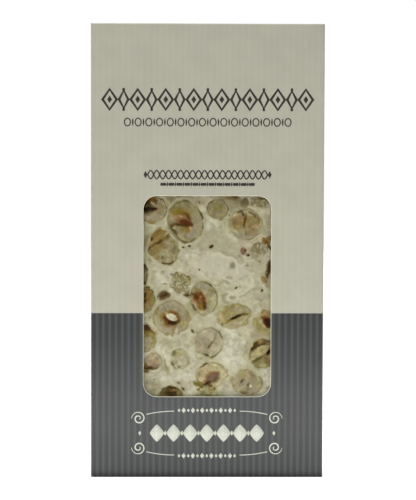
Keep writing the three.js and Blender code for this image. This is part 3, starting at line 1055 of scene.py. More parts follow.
class Tone(Enum):
    """Colours of nougat, nut flesh and skin, as screen values."""

    FLESH = (152, 143, 113)
    SAGE = (145, 136, 98)
    STRAW = (155, 146, 98)
    SAND = (160, 150, 119)
    GREY = (150, 142, 118)
    PINK = (165, 145, 118)
    CREAM = (178, 168, 130)
    LIME = (165, 162, 122)
    GREEN = (131, 126, 72)
    OLIVE = (132, 122, 76)
    AMBER = (123, 99, 40)
    TEA = (134, 114, 66)
    RUST = (108, 74, 28)
    COPPER = (150, 118, 78)
    ORANGE = (150, 100, 60)
    HEART = (86, 42, 16)
    BROWN = (68, 46, 12)
    BARK = (92, 81, 48)
    SKIN = (80, 68, 36)
    # near black in the darkest spots of the nuts, mostly sunk clefts and holes: dark skin with painted
    # shade over it
    BLACK = (34, 17, 2)
    UMBER = (90, 52, 12)
    MAUVE = (160, 146, 122)
    LILAC = (176, 169, 141)
    ROSE = (178, 150, 115)
    WHITE = (205, 198, 172)
    BUTTER = (178, 166, 116)
    PLUM = (122, 94, 76)
    MOSS = (110, 100, 30)
    RIM = (88, 82, 56)
    PASTE = (183, 178, 152)
    SUGAR = (201, 198, 179)
    MILK = (191, 187, 165)
    DAMP = (170, 165, 137)
    DUSK = (163, 157, 129)
    DUN = (134, 125, 93)
    BLUSH = (164, 152, 128)
    SEAM = (199, 194, 170)
    CRUST = (125, 92, 48)


(
    FLESH, SAGE, STRAW, SAND, GREY, PINK, CREAM, LIME, GREEN, OLIVE, AMBER, TEA, RUST, COPPER, ORANGE,
    HEART, BROWN, BARK, SKIN, BLACK, UMBER, MAUVE, LILAC, ROSE, WHITE, BUTTER, PLUM, MOSS, RIM, PASTE,
    SUGAR, MILK, DAMP, DUSK, DUN, BLUSH, SEAM, CRUST,
) = Tone


def each(kind: type, rows: Iterable[tuple]) -> list:
    """Makes one object of a kind from each row of its fields, given in their order."""
    return [kind(*row) for row in rows]


@dataclass(frozen=True)
class Patch:
    """A soft oval of one colour on a cut face, or the plan of a loose bit, in millimetres."""

    tone: Tone
    x: float
    z: float
    long: float
    wide: float
    turn: float = 0.0
    soft: float = 0.5
    strength: float = 1.0
    deep: float = 0.0
    bend: float = 0.0

    def cover(self, u: Array, v: Array) -> Array:
        """How far inside the oval points lie, from 0 to 1.

        Along its axis the half width is wide/2 (1 - (2s/long)^2)^0.8 and the axis bows by bend at its
        middle. The cover falls smoothly over 1.15 soft on each side of the outline and towards the ends.

        Args:
            u: Distances to the right of the middle that x and z are measured from.
            v: Distances above it.

        Returns:
            The cover, times strength.
        """
        s, t = turned(u - self.x, v - self.z, self.turn)
        arch = 1 - (2 * s / self.long) ** 2
        gap = self.wide / 2 * np.clip(arch, 0, 1) ** 0.8 - np.abs(t - self.bend * arch)
        soft = 1.15 * self.soft
        return self.strength * smoothstep(-soft, soft, gap) * smoothstep(-0.3, 0.2, arch)


@dataclass(frozen=True)
class Trace:
    """A soft line of one colour through points, in millimetres."""

    tone: Tone
    points: Sequence[tuple[float, float]]
    wide: float = 0.6
    strength: float = 1.0
    deep: float = 0.0

    def cover(self, u: Array, v: Array) -> Array:
        """Falls smoothly from 1 to 0 with the distance to the nearest stretch of the line, out to wide."""
        away = np.full(u.shape, np.inf)
        for (ax, az), (bx, bz) in zip(self.points, self.points[1:]):
            along = ((u - ax) * (bx - ax) + (v - az) * (bz - az)) / ((bx - ax) ** 2 + (bz - az) ** 2)
            share = np.clip(along, 0, 1)
            away = np.minimum(away, np.hypot(u - ax - share * (bx - ax), v - az - share * (bz - az)))
        return self.strength * smoothstep(self.wide, 0.25 * self.wide, away)


@dataclass(frozen=True)
class Arc:
    """A band of one colour along a nut's rim, between two angles anticlockwise from the right."""

    tone: Tone
    start: float
    stop: float
    inner: float = 0.9
    strength: float = 1.0

    def cover(self, angle: Array, reach: Array) -> Array:
        """Band from the share inner of the radius outwards, faded at its ends."""
        middle = math.radians((self.start + self.stop) / 2)
        half = math.radians((self.stop - self.start) / 2)
        off = np.abs((angle - middle + np.pi) % (2 * np.pi) - np.pi)
        inside = smoothstep(self.inner - 0.04, self.inner + 0.03, reach)
        return self.strength * inside * smoothstep(half + 0.1, half * 0.7, off)


@dataclass
class Canvas:
    """Colours and hollows painted over the points of a face."""

    u: Array
    v: Array
    colour: Array
    sunk: Array

    @classmethod
    def of(cls, u: Array, v: Array, tone: Tone) -> "Canvas":
        """A canvas all of one tone."""
        colour = np.ones((*u.shape, 3)) * tone.value
        return cls(u, v, colour, np.zeros_like(u))

    def lay(self, tone: Tone, cover: Array) -> None:
        """Mixes a tone in by a cover from 0 to 1."""
        self.colour += (np.array(tone.value) - self.colour) * np.clip(cover, 0, 1)[..., None]

    def patches(self, patches: Iterable[Patch | Trace], wobble: tuple[Array, Array]) -> None:
        """Lays patches in order, their outlines moved by wobble, and sinks or raises the face there."""
        for patch in patches:
            cover = patch.cover(self.u + wobble[0], self.v + wobble[1])
            self.lay(patch.tone, cover)
            self.sunk += (HOLLOW_MM * patch.deep - self.sunk) * cover if patch.deep else 0

    def shade(self, amount: Array) -> None:
        """Brightens by an amount about nought."""
        self.colour *= (1 + amount)[..., None]

    def tint(self, amount: Array) -> None:
        """Drifts from olive, below nought, to pink, above it."""
        self.colour *= 1 + amount[..., None] * PINK_SHIFT


# ---- nuts


@dataclass
class Cut:
    """What one cut hazelnut looks like.

    Its patches and its arcs are rows of the fields of Patch and Arc. A knob of its outline is a row
    of its place and its width in degrees and its height as a share of the radius.
    """

    base: Tone
    patches: Sequence[tuple] = ()
    arcs: Sequence[tuple] = ()
    knobs: Sequence[tuple[float, float, float]] = ()
    turn: float = 0.0
    rim: float = 0.6


HAZELNUTS: dict[int, Cut] = {
    1: Cut(FLESH, [
        (TEA, 2.6, 0.4, 5, 3.4, 90, 1.2, 0.4), (BROWN, -2, 2, 4, 2.6, 50, 0.8),
        (RUST, 0.1, 3.7, 4, 2.2, -25, 0.6), (SKIN, 1.2, 2.6, 1.8, 1.2, -60),
        (SAND, 0.4, 2, 3, 0.8, -35, 0.4), (MAUVE, -1.3, -2.6, 4.2, 2.2, 8, 0.8),
        (TEA, -1, -4.6, 5.6, 1.2, -4), (COPPER, 1.9, 0.2, 2, 0.7), (SKIN, -1.8, 0.2, 6.4, 3.4, 2, 0.9),
        (BLACK, -2.6, 0.35, 8.6, 1.6, 1, 0.4, 1, 1),
    ], [(SKIN, 5, 60, 0.9, 0.8), (SKIN, -40, 5, 0.93, 0.7)], [(-55, 14, -0.05), (22, 36, 0.09)]),
    2: Cut(SAGE, [
        (FLESH, 4, -1.6, 10, 4, 82, 1.2), (OLIVE, -1.4, 4, 9, 4, -8, 1.3, 0.7),
        (GREY, 2.4, -4.6, 5, 2.6, 30, 0.9), (BARK, -5.2, -2.9, 6.4, 2.4, -58, 0.8, 0.8),
        (AMBER, -1.9, 3.1, 6.8, 3.2, -8, 1.1), (MOSS, -2.2, 3.4, 3.2, 1.4, -8, 0.7, 0.7),
        (AMBER, 0.1, -2.6, 4.2, 2.4, 0, 0.9, 0.8), (COPPER, -1.8, 1, 6, 2.8, -24, 0.9),
        (UMBER, 0.8, 1.9, 4.2, 1.2, -54, 0.6, 0.9), (ROSE, -2, 2.1, 2.4, 0.5, -18, 0.25),
        (PINK, -4.8, 0.8, 3, 1, -32, 0.4), (CRUST, -0.8, -0.1, 6.4, 2.6, -16, 0.8, 0.8, 0.1),
        (HEART, 0.1, -0.4, 5.4, 2.2, -16, 0.7, 1, 0.2), (HEART, 1.2, -0.9, 3, 1.2, -10, 0.4),
        (BROWN, -1.3, -1.1, 7.6, 1, -6, 0.5, 1, 0.1), (SKIN, -5.5, -1.6, 2.4, 1.4, 20, 0.35, 1, 0.2),
        # the small cream spot low on the left is a painted glint
        (CREAM, -4.5, -2.4, 1.2, 0.9, 0, 0.22), (SKIN, -4.2, -4, 5.4, 1.6, -54, 0.4, 0.9),
        (ROSE, 1.8, -2.3, 1.6, 1.2, 20), (SAND, -2.2, -5.4, 2.8, 1.2, -20, 0.6),
    ], [
        (SKIN, -22, 42, 0.92, 0.9), (SKIN, 50, 165, 0.92, 0.5), (SKIN, 250, 310, 0.92, 0.8),
        # the bark arc low on the left is partly rim and partly painted shade of the gap to nut 5
        (BARK, 190, 250, 0.88, 0.9),
    ], [
        (196, 14, 0.05), (228, 13, -0.02), (168, 30, 0.07), (0, 40, 0.06), (100, 30, 0.04),
    ], turn=10, rim=0.35),
    3: Cut(DUN, [
        (SAGE, -2.5, -0.4, 3.4, 1.8, 80, 0.7), (SAGE, 2.5, -0.3, 3.4, 1.6, 95, 0.7),
        (GREEN, -0.1, 0.6, 3.4, 2.6, 0, 0.9), (SAGE, 0, 2.5, 3.6, 1.2, -10, 0.6),
        (STRAW, 0.6, -2.3, 3.2, 1, 4, 0.45), (SKIN, -2.4, 2.9, 1.8, 0.8, 30, 0.35),
    ], [(SKIN, -30, 60, 0.92, 0.7), (SKIN, 100, 190, 0.94, 0.5)], [
        (60, 12, 0.04), (0, 12, 0.03), (120, 12, 0.03), (180, 12, 0.04), (240, 12, 0.03), (300, 12, 0.04),
    ], rim=0.7),
    4: Cut(FLESH, [
        (TEA, -3, 0.4, 6.4, 4.2, 84, 0.8), (TEA, 2.7, 0.6, 6.2, 4.4, 96, 0.8),
        (MAUVE, -2.8, 1.8, 2.6, 1.8, 80, 0.8, 0.4), (COPPER, -1.2, 1.2, 3, 1, 88),
        (STRAW, -2.4, -1.2, 4.4, 2.4, -20, 1, 0.4), (SAGE, 2.4, 1, 3.6, 2.8, 0, 1.1, 0.6),
        (COPPER, 2.5, -2.9, 3.6, 2.6, 10, 0.8, 0.5), (ROSE, 3.6, -1, 2.6, 1.2, 8, 0.45),
        (LIME, -3.9, -2.7, 4, 1.2, -42, 0.45), (GREY, -3.4, -4, 2.6, 1, -30, 0.4),
        (GREY, 0, -4.8, 4.6, 1.2), (CREAM, -3.6, 3.2, 2.2, 1, 10, 0.4),
        (CREAM, 1.7, 3.3, 2.4, 0.8, -14, 0.35), (LIME, 0.1, 4, 1.6, 1.2, 80, 0.35, 1, 0.3),
        (SKIN, -2.7, 4.3, 4.2, 1.2, 4, 0.4, 0.9, 0, 0.4), (SKIN, -1, 3.8, 2.2, 0.9, -62, 0.35, 0.8),
        (BARK, 2.5, 3.6, 4, 0.8, -36, 0.4, 0.9), (SKIN, 4.8, 1.4, 2.8, 0.6, -76, 0.4, 0.6),
        (AMBER, -0.1, 1.6, 5.6, 1.2, 84, 0.4, 1, 0.5), (BROWN, -0.3, 0.9, 4.4, 0.8, 80, 0.35, 0.9, 0.5),
        (TEA, 0.1, -2.6, 4.4, 0.7, -84, 0.4, 1, 0.2), (OLIVE, 0.3, -3.6, 1.4, 0.8, 80, 0.3, 1, 0.1),
    ], [], [(0, 60, 0.13), (180, 60, 0.14), (105, 14, 0.05), (70, 12, 0.04), (270, 40, 0.04)], rim=0.3),
    5: Cut(SAGE, [
        (AMBER, -1.9, 4.7, 7.4, 4.4, 40, 0.7, 0.8), (TEA, -1.2, 4.4, 4.6, 2, 36, 0.7),
        (RUST, -2.1, 5.8, 2.6, 1.2, 25, 0.5, 0.5), (SAND, 0.7, 4.7, 2.8, 1.4, 50, 0.5, 0.7),
        (TEA, -1.4, 0.8, 5, 1.8, 30, 0.7), (BROWN, -4.6, 3, 1.7, 1.2, -50, 0.35),
        (PINK, -3.3, 1.7, 3.2, 1, 24, 0.4), (TEA, -4.1, -2, 3.8, 2.8, 60, 0.8, 0.9),
        (TEA, -2.6, -0.8, 2.8, 2, 30, 0.8), (TEA, -0.2, 0, 3.2, 2.4, -20, 0.9, 0.7),
        (FLESH, 2.4, -0.8, 5.6, 3.2, 84, 1), (LIME, -0.2, -2.2, 3, 1.8, 0, 0.9, 0.7),
        (FLESH, 2.4, -4.9, 3.6, 1.6, 10, 0.7), (BARK, 3.9, -0.8, 3.6, 1.6, 80, 0.8, 0.6),
        (PINK, 0.8, 1.9, 2.4, 1.2, 30, 0.5, 0.7), (TEA, -2.4, -4, 2, 1.6, 40, 0.6),
        (CREAM, 0.4, -1.4, 2.6, 0.6, -20, 0.35, 0.7, 0, 0.4), (OLIVE, 3.2, 1.8, 2.2, 1.2, -50),
        (RUST, -3.7, 0.9, 4.8, 1, 36, 0.5, 1, 0.3), (BROWN, -1.5, 1.9, 3.2, 1, 34, 0.5, 1, 0.4),
        (RUST, 0.6, 3.2, 3.2, 0.8, 34, 0.45, 1, 0.3), (SKIN, 1.4, 4, 1.8, 0.8, 60, 0.3),
        (SKIN, -5.3, -0.4, 1.8, 0.9, 50, 0.35, 1, 0.2), (SKIN, -0.6, -3.8, 1.2, 0.6, 80, 0.3, 0.6),
        (SKIN, 4.8, -3.8, 1.8, 0.8, 76, 0.3, 0.9), (TEA, 0.6, 3, 2.4, 1.6, 30, 0.6, 0.7),
    ], [(BROWN, 262, 302, 0.88)], [
        (282, 16, 0.07), (47, 20, -0.24), (102, 18, 0.12), (161, 9, -0.11), (200, 13, 0.09),
        (238, 15, -0.11), (5, 14, -0.05),
    ], turn=17, rim=0.3),
    6: Cut(BARK, [
        (SKIN, 2.6, 0, 8, 2.2, 90, 0.5, 0.4), (DUN, 2.4, -0.8, 5, 0.9, 90, 0.4),
        (PLUM, 2.9, 1.7, 1.6, 0.9, -70, 0.4), (BLACK, 2.2, 3.2, 1.9, 1.2, -50, 0.5, 0.8),
        (BROWN, 2.2, -4, 2.4, 1.2, 90),
    ], [(SKIN, -60, 60, 0.86, 0.9)], [(58, 16, 0.2), (-60, 20, 0.38)]),
    7: Cut(TEA, [
        (AMBER, 1.6, 1, 5.4, 3.4, 85, 0.9, 0.7), (COPPER, 1.5, -1.7, 2.6, 2, 20, 0.7),
        (OLIVE, 1.6, -3.6, 4, 1.6, 10, 0.7), (GREEN, 3.1, -0.4, 4.4, 1.4, 85),
        (SKIN, 1.8, 4.1, 3.4, 1.2, -35, 0.6, 0.8), (BROWN, 0.4, 1.5, 2.2, 1, 80, 0.4, 1, 0.3),
        (BROWN, 0.3, -0.8, 1.9, 1, 80, 0.4, 1, 0.3),
    ], [(SKIN, -80, 80, 0.92, 0.6)], [(80, 30, 0.14), (-80, 30, 0.1)]),
    8: Cut(FLESH, [
        (GREY, -0.6, 4.4, 5, 2.4, -10, 0.8), (LIME, 3.1, -2, 6.2, 2.6, 80, 0.7, 0.8),
        (SAND, -3.2, -3.2, 4.6, 2, -52, 0.6), (TEA, -2.4, 2.2, 4.2, 2.4, -55, 0.8),
        (COPPER, 0.6, -0.4, 4.6, 1.6, -75, 0.6, 0.5), (COPPER, -4.1, -0.8, 2.4, 1, 80),
        (AMBER, -1.2, -2.8, 4.6, 2.8, -62, 0.7), (RUST, -1.9, -0.1, 5.6, 3.2, -64, 0.8, 1, 0.1),
        (UMBER, -2.9, 0.4, 3.4, 1.8, -50, 0.8, 1, 0.1), (UMBER, -0.5, 0, 5.2, 1.2, -68, 0.6, 1, 0.2),
        (SKIN, -4.9, 1.5, 2.8, 1.4, 10, 0.4, 0.9), (BROWN, 0.2, -2.8, 3.2, 1.2, -84, 0.5, 1, 0.2),
        (CRUST, -1.6, -1.1, 2.4, 1.4, -70, 0.5, 0.9), (ORANGE, -1.4, 0.5, 1, 0.8, 0, 0.35),
        (SAND, -0.4, -5, 2.4, 1.2), (OLIVE, 2.9, 2.6, 3.2, 1.2, -14, 0.6, 0.8),
        (OLIVE, 1.9, -0.8, 3.4, 0.6, -80, 0.4, 0.6),
    ], [
        (SKIN, 16, 92, 0.87, 0.9), (OLIVE, -55, 5, 0.92, 0.9), (SKIN, -115, -70, 0.94, 0.5),
        (BARK, 208, 238, 0.86, 0.9),
    ], [(35, 10, 0.02), (-50, 12, -0.04)], turn=3, rim=0.15),
    9: Cut(FLESH, [
        (GREY, -1.4, 4.8, 6.4, 3, 10, 0.9), (SAND, 3.2, 3.2, 5, 3.4, -40, 1, 0.6),
        (LIME, -5.2, -1.6, 6.4, 3, 80, 0.9), (OLIVE, -5.6, 2.4, 3, 1.6, 60, 0.7),
        (OLIVE, 5.8, 0.2, 6.4, 1.8, 88, 0.6, 0.7), (STRAW, 3.9, -2.4, 3.4, 2.6, 30, 0.8),
        (AMBER, -0.1, -0.1, 7.8, 5.4, -14, 1), (AMBER, -3.8, 0.3, 3.2, 1.5, 78, 0.6, 0.6),
        (AMBER, -1.8, -2.4, 3.2, 1.4, -35, 0.6), (COPPER, 0, -3.4, 3.4, 1.2, 0, 0.6, 0.8),
        (RUST, 0.8, 1.9, 3.4, 1, -20), (HEART, -0.1, -0.6, 6, 4, -16, 0.7, 1, 0.1),
        (BLACK, 0.2, -1.9, 3.6, 1.4, -6, 0.6, 0.8, 0.1), (SKIN, 2.5, -1.4, 1.8, 1.2, 20, 0.45),
        (PINK, -1.9, 1.6, 1.6, 0.8, -30, 0.4), (WHITE, 0, 0.2, 4.7, 2.5, -22, 0.28, 1, 0.1),
        (ROSE, 1.7, -0.2, 1.2, 0.9, -60, 0.3, 0.7, 0.1), (LILAC, 0.5, -0.3, 2.8, 0.7, -26, 0.35, 0.8, 0.1),
        (BLUSH, -2.2, -4.6, 3.8, 2, -12, 0.8, 0.8), (OLIVE, -1.7, -6, 1.8, 1.1, 0, 0.35),
        (OLIVE, 0.6, -5.3, 3.2, 1.2, 84, 0.35), (LILAC, 1.8, -5.2, 3.4, 1.2, 72, 0.35, 1, -0.1),
        (GREY, 0.8, 4.6, 5, 1, 70, 0.6, 0.6),
    ], [(OLIVE, -40, 60, 0.9, 0.3), (OLIVE, 120, 170, 0.9, 0.4)], [
        (-76, 6, -0.12), (-96, 5, -0.07), (-55, 10, -0.07), (120, 20, -0.03), (58, 22, -0.08),
        (0, 24, 0.04),
    ], rim=0.05),
    10: Cut(STRAW, [
        (TEA, -3.2, 1.2, 5, 3.4, 45, 1, 0.4), (GREEN, -2.6, 0.8, 4, 2, 40, 0.8, 0.2),
        (OLIVE, -0.7, 3.2, 3.4, 1.6, 70, 0.7, 0.7), (SAND, 1.4, 2.4, 3.4, 2, -20, 0.7),
        (FLESH, 4.3, 2.6, 3.4, 1.8, -30, 0.6), (CREAM, -5.2, 0.2, 4.4, 1.8, -60, 0.7, 0.7),
        (SAND, -0.2, -2.8, 4.4, 2.8, 4), (LIME, 3.2, -1.7, 4.2, 1.6, 52),
        (OLIVE, 3.6, -2.2, 3.6, 0.5, 50, 0.3, 0.6), (LIME, -3.2, -3.3, 2.6, 1.2, -10),
        (AMBER, 0.8, -0.9, 9.6, 1.2, 24, 0.45, 1, 0.3, 0.65), (CREAM, 2.5, -0.5, 1.8, 0.6, 30, 0.25),
        (SKIN, 2.9, 0.75, 3.8, 0.7, 12, 0.3, 1, 0.5), (BLACK, 0.4, -0.25, 4.2, 1.1, 26, 0.3, 1, 0.9),
        (SKIN, -4.6, -3.1, 1.1, 0.9, 0, 0.3),
    ], [(OLIVE, 60, 170, 0.95, 0.7), (RIM, 0, 50, 0.95, 0.5)], [
        (16, 10, 0.1), (44, 9, 0.02), (66, 7, -0.07), (172, 18, -0.05), (300, 16, -0.06), (343, 14, -0.18),
    ], turn=8, rim=0.2),
    11: Cut(STRAW, [
        (GREEN, -2.3, -0.9, 3.4, 2.2, 60, 0.9, 0.6), (OLIVE, -0.8, -2.6, 4.4, 2.2, -10, 0.9, 0.6),
        (COPPER, 0.4, 3.2, 4, 2, 40, 0.7, 0.7), (TEA, -0.8, 4.4, 3.4, 1, 60, 0.6),
        (RUST, 0.1, 1.6, 3.8, 1.6, -10, 0.6), (CREAM, -1.4, 0.4, 2.2, 0.9, 70, 0.4),
        (HEART, 0.8, -0.1, 4.4, 3, -58, 0.5, 1, 0.5), (BLACK, 1, -0.2, 3.6, 2.3, -58, 0.6, 0.8, 0.6),
        # the small rose spot below and left of the hole is a painted glint
        (ROSE, -0.5, -1.3, 2.2, 0.8, -48, 0.28),
    ], [(RIM, 110, 250, 0.95, 0.3)], [(135, 22, -0.2), (235, 20, -0.05)], rim=0.2),
    12: Cut(STRAW, [
        (AMBER, 1.4, 2, 5, 3.6, -40, 0.9), (BROWN, 0.4, 3.9, 4.2, 2.4, -38, 0.8, 1, 0.2),
        (GREEN, 2.6, 0.8, 3.4, 1.6, -60, 0.7), (SAND, 1.2, -0.8, 3.4, 2.2, 50, 0.7),
        (GREY, 0.8, -3.2, 4, 2.2, 50, 0.8), (OLIVE, 2.5, -2.6, 4, 0.6, 54, 0.35, 0.8, 0.1),
        (OLIVE, 3.3, 0, 2.4, 1, 80), (SKIN, 3, 2.6, 2.8, 0.9, -48, 0.4, 0.8),
    ], [(RIM, -70, 60, 0.95, 0.4)], [(46, 20, -0.1)], rim=0.3),
    13: Cut(GREY, [
        (BLUSH, -1, 3.4, 6, 3.2, 10, 0.9), (GREY, -2, -0.2, 6, 3.6, 60, 1.1),
        (LILAC, -0.9, 3.4, 4.4, 2.6, -30, 1, 0.8), (LILAC, 0.8, 1.4, 3.6, 2.4, -60, 0.8, 0.8),
        (SAND, -3.4, -2, 3.8, 2.6, 30, 0.9, 0.9), (DUN, -0.7, -0.6, 4, 1.4, 62, 0.8, 0.5),
        (LILAC, 2.9, -1.6, 7.2, 4.4, 62, 0.45, 1, -0.14), (BLUSH, 1.5, -1.8, 4.4, 2.2, 56, 0.9, 0.8, -0.14),
        (SAND, 3.3, 1, 3, 2, -60, 0.7), (LIME, 1.2, -4.5, 3, 1.2, 10),
        (OLIVE, 2, 1.4, 4.2, 0.6, 72, 0.4, 0.9), (SKIN, 0.4, -0.9, 3.2, 0.6, 54, 0.35, 0.8, 0.3),
        (SKIN, -0.3, -1.8, 1.2, 0.5, 60, 0.3, 0.8, 0.3), (DUN, -0.9, -3.2, 2.6, 0.5, 60, 0.35, 0.7, 0.1),
        (SKIN, -1.1, -4.7, 2.6, 1.2, -10, 0.35),
    ], [(RIM, 20, 80, 0.9, 0.6), (RIM, -60, 20, 0.92, 0.5), (SKIN, 255, 300, 0.94, 0.6)], [
        (32, 8, -0.06), (-46, 18, -0.06),
    ], rim=0.15),
    14: Cut(OLIVE, [
        (GREEN, -0.6, -3.8, 6.8, 3.6, 14, 0.8, 0.6), (LIME, 0.4, -4, 3, 2, 0, 0.8),
        (TEA, 2.2, -2.8, 3.4, 2.8, 50, 0.8), (PLUM, 1.2, -1, 2.8, 1.2, -70, 0.6, 0.8),
        (TEA, 0, 4.5, 7.6, 3.4, 14, 0.6), (BARK, 1.6, 4.7, 3.4, 1.6, 0, 0.6),
        (BROWN, -3, 2.9, 4.4, 2, 48, 0.6, 0.9, 0.1), (BLACK, -0.7, 3, 4.6, 1, 24, 0.55, 0.7, 0.2),
        (OLIVE, -4.3, -0.8, 2.6, 1.4, -20), (CREAM, -3.4, -1.9, 3.2, 0.9, 34, 0.4),
        (BUTTER, -0.7, 1, 7.6, 3.2, 30, 0.35, 1, -0.1), (STRAW, 0.4, 1.4, 3.6, 1.6, 20, 0.6),
        (CREAM, -1.9, -0.5, 4.6, 0.8, -14, 0.3, 1, 0, -0.5),
        (BLACK, -3.9, 1.9, 1.9, 0.8, 55, 0.4, 0.7, 0.1), (SKIN, -1.8, -2.1, 5.2, 1.1, 30, 0.5, 1, 0.2),
        (BLACK, 2.3, 0.6, 2.8, 1.3, 66, 0.35, 1, 0.8),
    ], [(RIM, 150, 260, 0.95, 0.3)], [(140, 16, -0.05), (185, 34, 0.07)], rim=0.3),
    15: Cut(LIME, [
        (LILAC, 0.6, -1, 6.4, 4.6, 10, 0.8), (SKIN, -2.4, 2, 2.6, 2.4, 20, 0.6, 0.6),
        (STRAW, -0.3, 2.1, 2.4, 1.5, 0, 0.5, 0.6), (DUSK, -2.2, -0.6, 3.8, 3, 70, 0.8, 0.8),
        (GREY, -1.4, -0.9, 1.8, 1, 60, 0.4), (SKIN, -0.3, -2.9, 1.1, 0.9, 0, 0.35, 0.6),
        (SKIN, -2.7, -1.8, 1.8, 0.8, -55, 0.3, 0.8), (GREY, 2.4, 0.8, 3, 0.8, -60, 0.4),
    ], [(RIM, 50, 150, 0.92, 0.8), (RIM, -30, 50, 0.93, 0.6)], [(200, 14, -0.03)], rim=0.4),
    16: Cut(FLESH, [
        (MAUVE, -0.1, 2.2, 5, 2.8, -8, 0.8), (BLUSH, 0.3, -0.1, 5.6, 3.4, -6, 0.9),
        (COPPER, 0.1, 0.1, 4.4, 2, -4, 0.9, 0.5), (PLUM, 0.1, -1.5, 4.6, 1.6, 4, 0.7, 0.6),
        (AMBER, -2.7, -1.5, 3, 1.6, -80, 0.6), (BROWN, -1.9, -2.6, 4.2, 1.8, 20, 0.5, 1, 0.1),
        (SKIN, 0.4, -2.6, 3.6, 0.6, 16, 0.35),
    ], [(BROWN, 200, 240, 0.8, 0.9)], [(-40, 24, -0.14), (-80, 22, -0.14), (-138, 14, 0.26)], rim=0.1),
    17: Cut(CREAM, [
        (ROSE, -2.1, 1.4, 4.6, 1.8, 14, 0.7, 0.5), (BUTTER, 0.6, 2.6, 7.4, 2.6, -8, 0.8, 0.2),
        (LIME, 3.6, 3.2, 4, 1.8, -40, 0.7), (SAND, -4.2, 0, 3.8, 1.8, 80, 0.7),
        (CREAM, 3, -1.6, 4.4, 2, 50, 0.9), (TEA, -0.6, -1, 6.8, 4, 36, 0.7, 0.8, 0.2),
        (PLUM, 0, -0.9, 6.8, 3, 36, 0.8, 1, 0.2), (CRUST, 0, 0.8, 3.2, 0.9, 8, 0.6, 0.8),
        (SKIN, 1.5, -1.5, 3.4, 1.4, 34, 0.8, 0.7), (BROWN, -1.7, -2.8, 2.6, 1.2, 24, 0.5, 1, 0.3),
        (BLACK, -1.9, -3.2, 1.4, 0.9, 10, 0.4, 0.8, 0.3), (OLIVE, -4.8, 0.2, 2.8, 0.7, 84, 0.35),
        (MOSS, -5.3, -3.3, 2, 1.7), (MOSS, -4.2, -2.8, 3, 0.7, -8, 0.35, 1, 0.2),
        (SKIN, -2.9, -4, 2.2, 1.3, -20, 0.45, 1, 0.2), (RUST, -0.6, -4.1, 2.2, 1.3),
    ], [(SKIN, 120, 150, 0.9, 0.7), (OLIVE, 20, 95, 0.93, 0.4)], [
        (-36, 22, -0.26), (-80, 14, -0.06),
    ], rim=0),
    18: Cut(FLESH, [
        (STRAW, -1.4, 3, 4, 2.4, 6, 0.9), (SAND, -3.6, 1, 3.4, 2.2, 70, 0.8),
        (DUN, 2.6, 1.4, 4.2, 2.4, -10, 0.9, 0.8), (SAGE, 4, 0.4, 3.4, 1.6, 80, 0.7, 0.8),
        (PLUM, 1.5, 3, 3, 1, -50, 0.5, 0.7), (GREY, -0.6, -0.4, 4.4, 3.2, 10, 1),
        (SKIN, -2, 0.4, 1.5, 0.9, 62, 0.35, 0.9, 0.4), (SKIN, 0.4, -0.9, 1.6, 0.8, 80, 0.35, 0.9, 0.4),
        (PLUM, 0.2, -2.2, 2.4, 0.8, 82, 0.5, 0.6, 0.1), (ROSE, -0.5, 1.3, 1.3, 0.9, -70, 0.3),
        (WHITE, 1.3, -1.4, 1.3, 1, 20, 0.25, 1, -0.1), (CREAM, -2.4, -2.5, 4.4, 1.1, 40, 0.45),
        (BARK, -1.8, -4, 5, 1.4, 6, 0.6, 0.7), (GREY, 2.6, -3.2, 4.4, 1.6, -10, 0.8),
    ], [(RIM, 100, 200, 0.94, 0.5), (RIM, -20, 40, 0.94, 0.4)], [
        (46, 20, -0.19), (112, 16, 0.02), (180, 30, 0.04),
    ], rim=0.3),
    19: Cut(TEA, [
        (BARK, -0.6, 1.2, 8, 4, -6, 1), (BROWN, 0.1, 0.4, 4.8, 2.6, 0, 0.9, 0.9),
        (BARK, -3.1, 1, 2.4, 2, 40, 0.7, 0.9), (BROWN, 0.4, 2.3, 5, 1, -8),
        (TEA, 0.9, 1.4, 3.4, 0.7, 10, 0.4, 0.7), (OLIVE, 3.4, 0.2, 3, 2.6, -20, 0.6),
    ], [], [(40, 16, -0.12), (150, 14, -0.1)], rim=0.2),
    20: Cut(LIME, [
        (AMBER, 1.4, 2.7, 2.6, 1.4, 0, 0.5, 0.9), (CREAM, -2, 2, 2.6, 1.4, 30),
        (OLIVE, -1.9, 0.3, 2.4, 1.5, 20, 0.5, 0.8, 0.1), (TEA, 1.4, 1.2, 3.8, 1.8, 80, 0.7, 0.6),
        (MOSS, 0.1, -0.6, 2.4, 1, 0, 0.45, 0.7),
    ], rim=0.2),
}


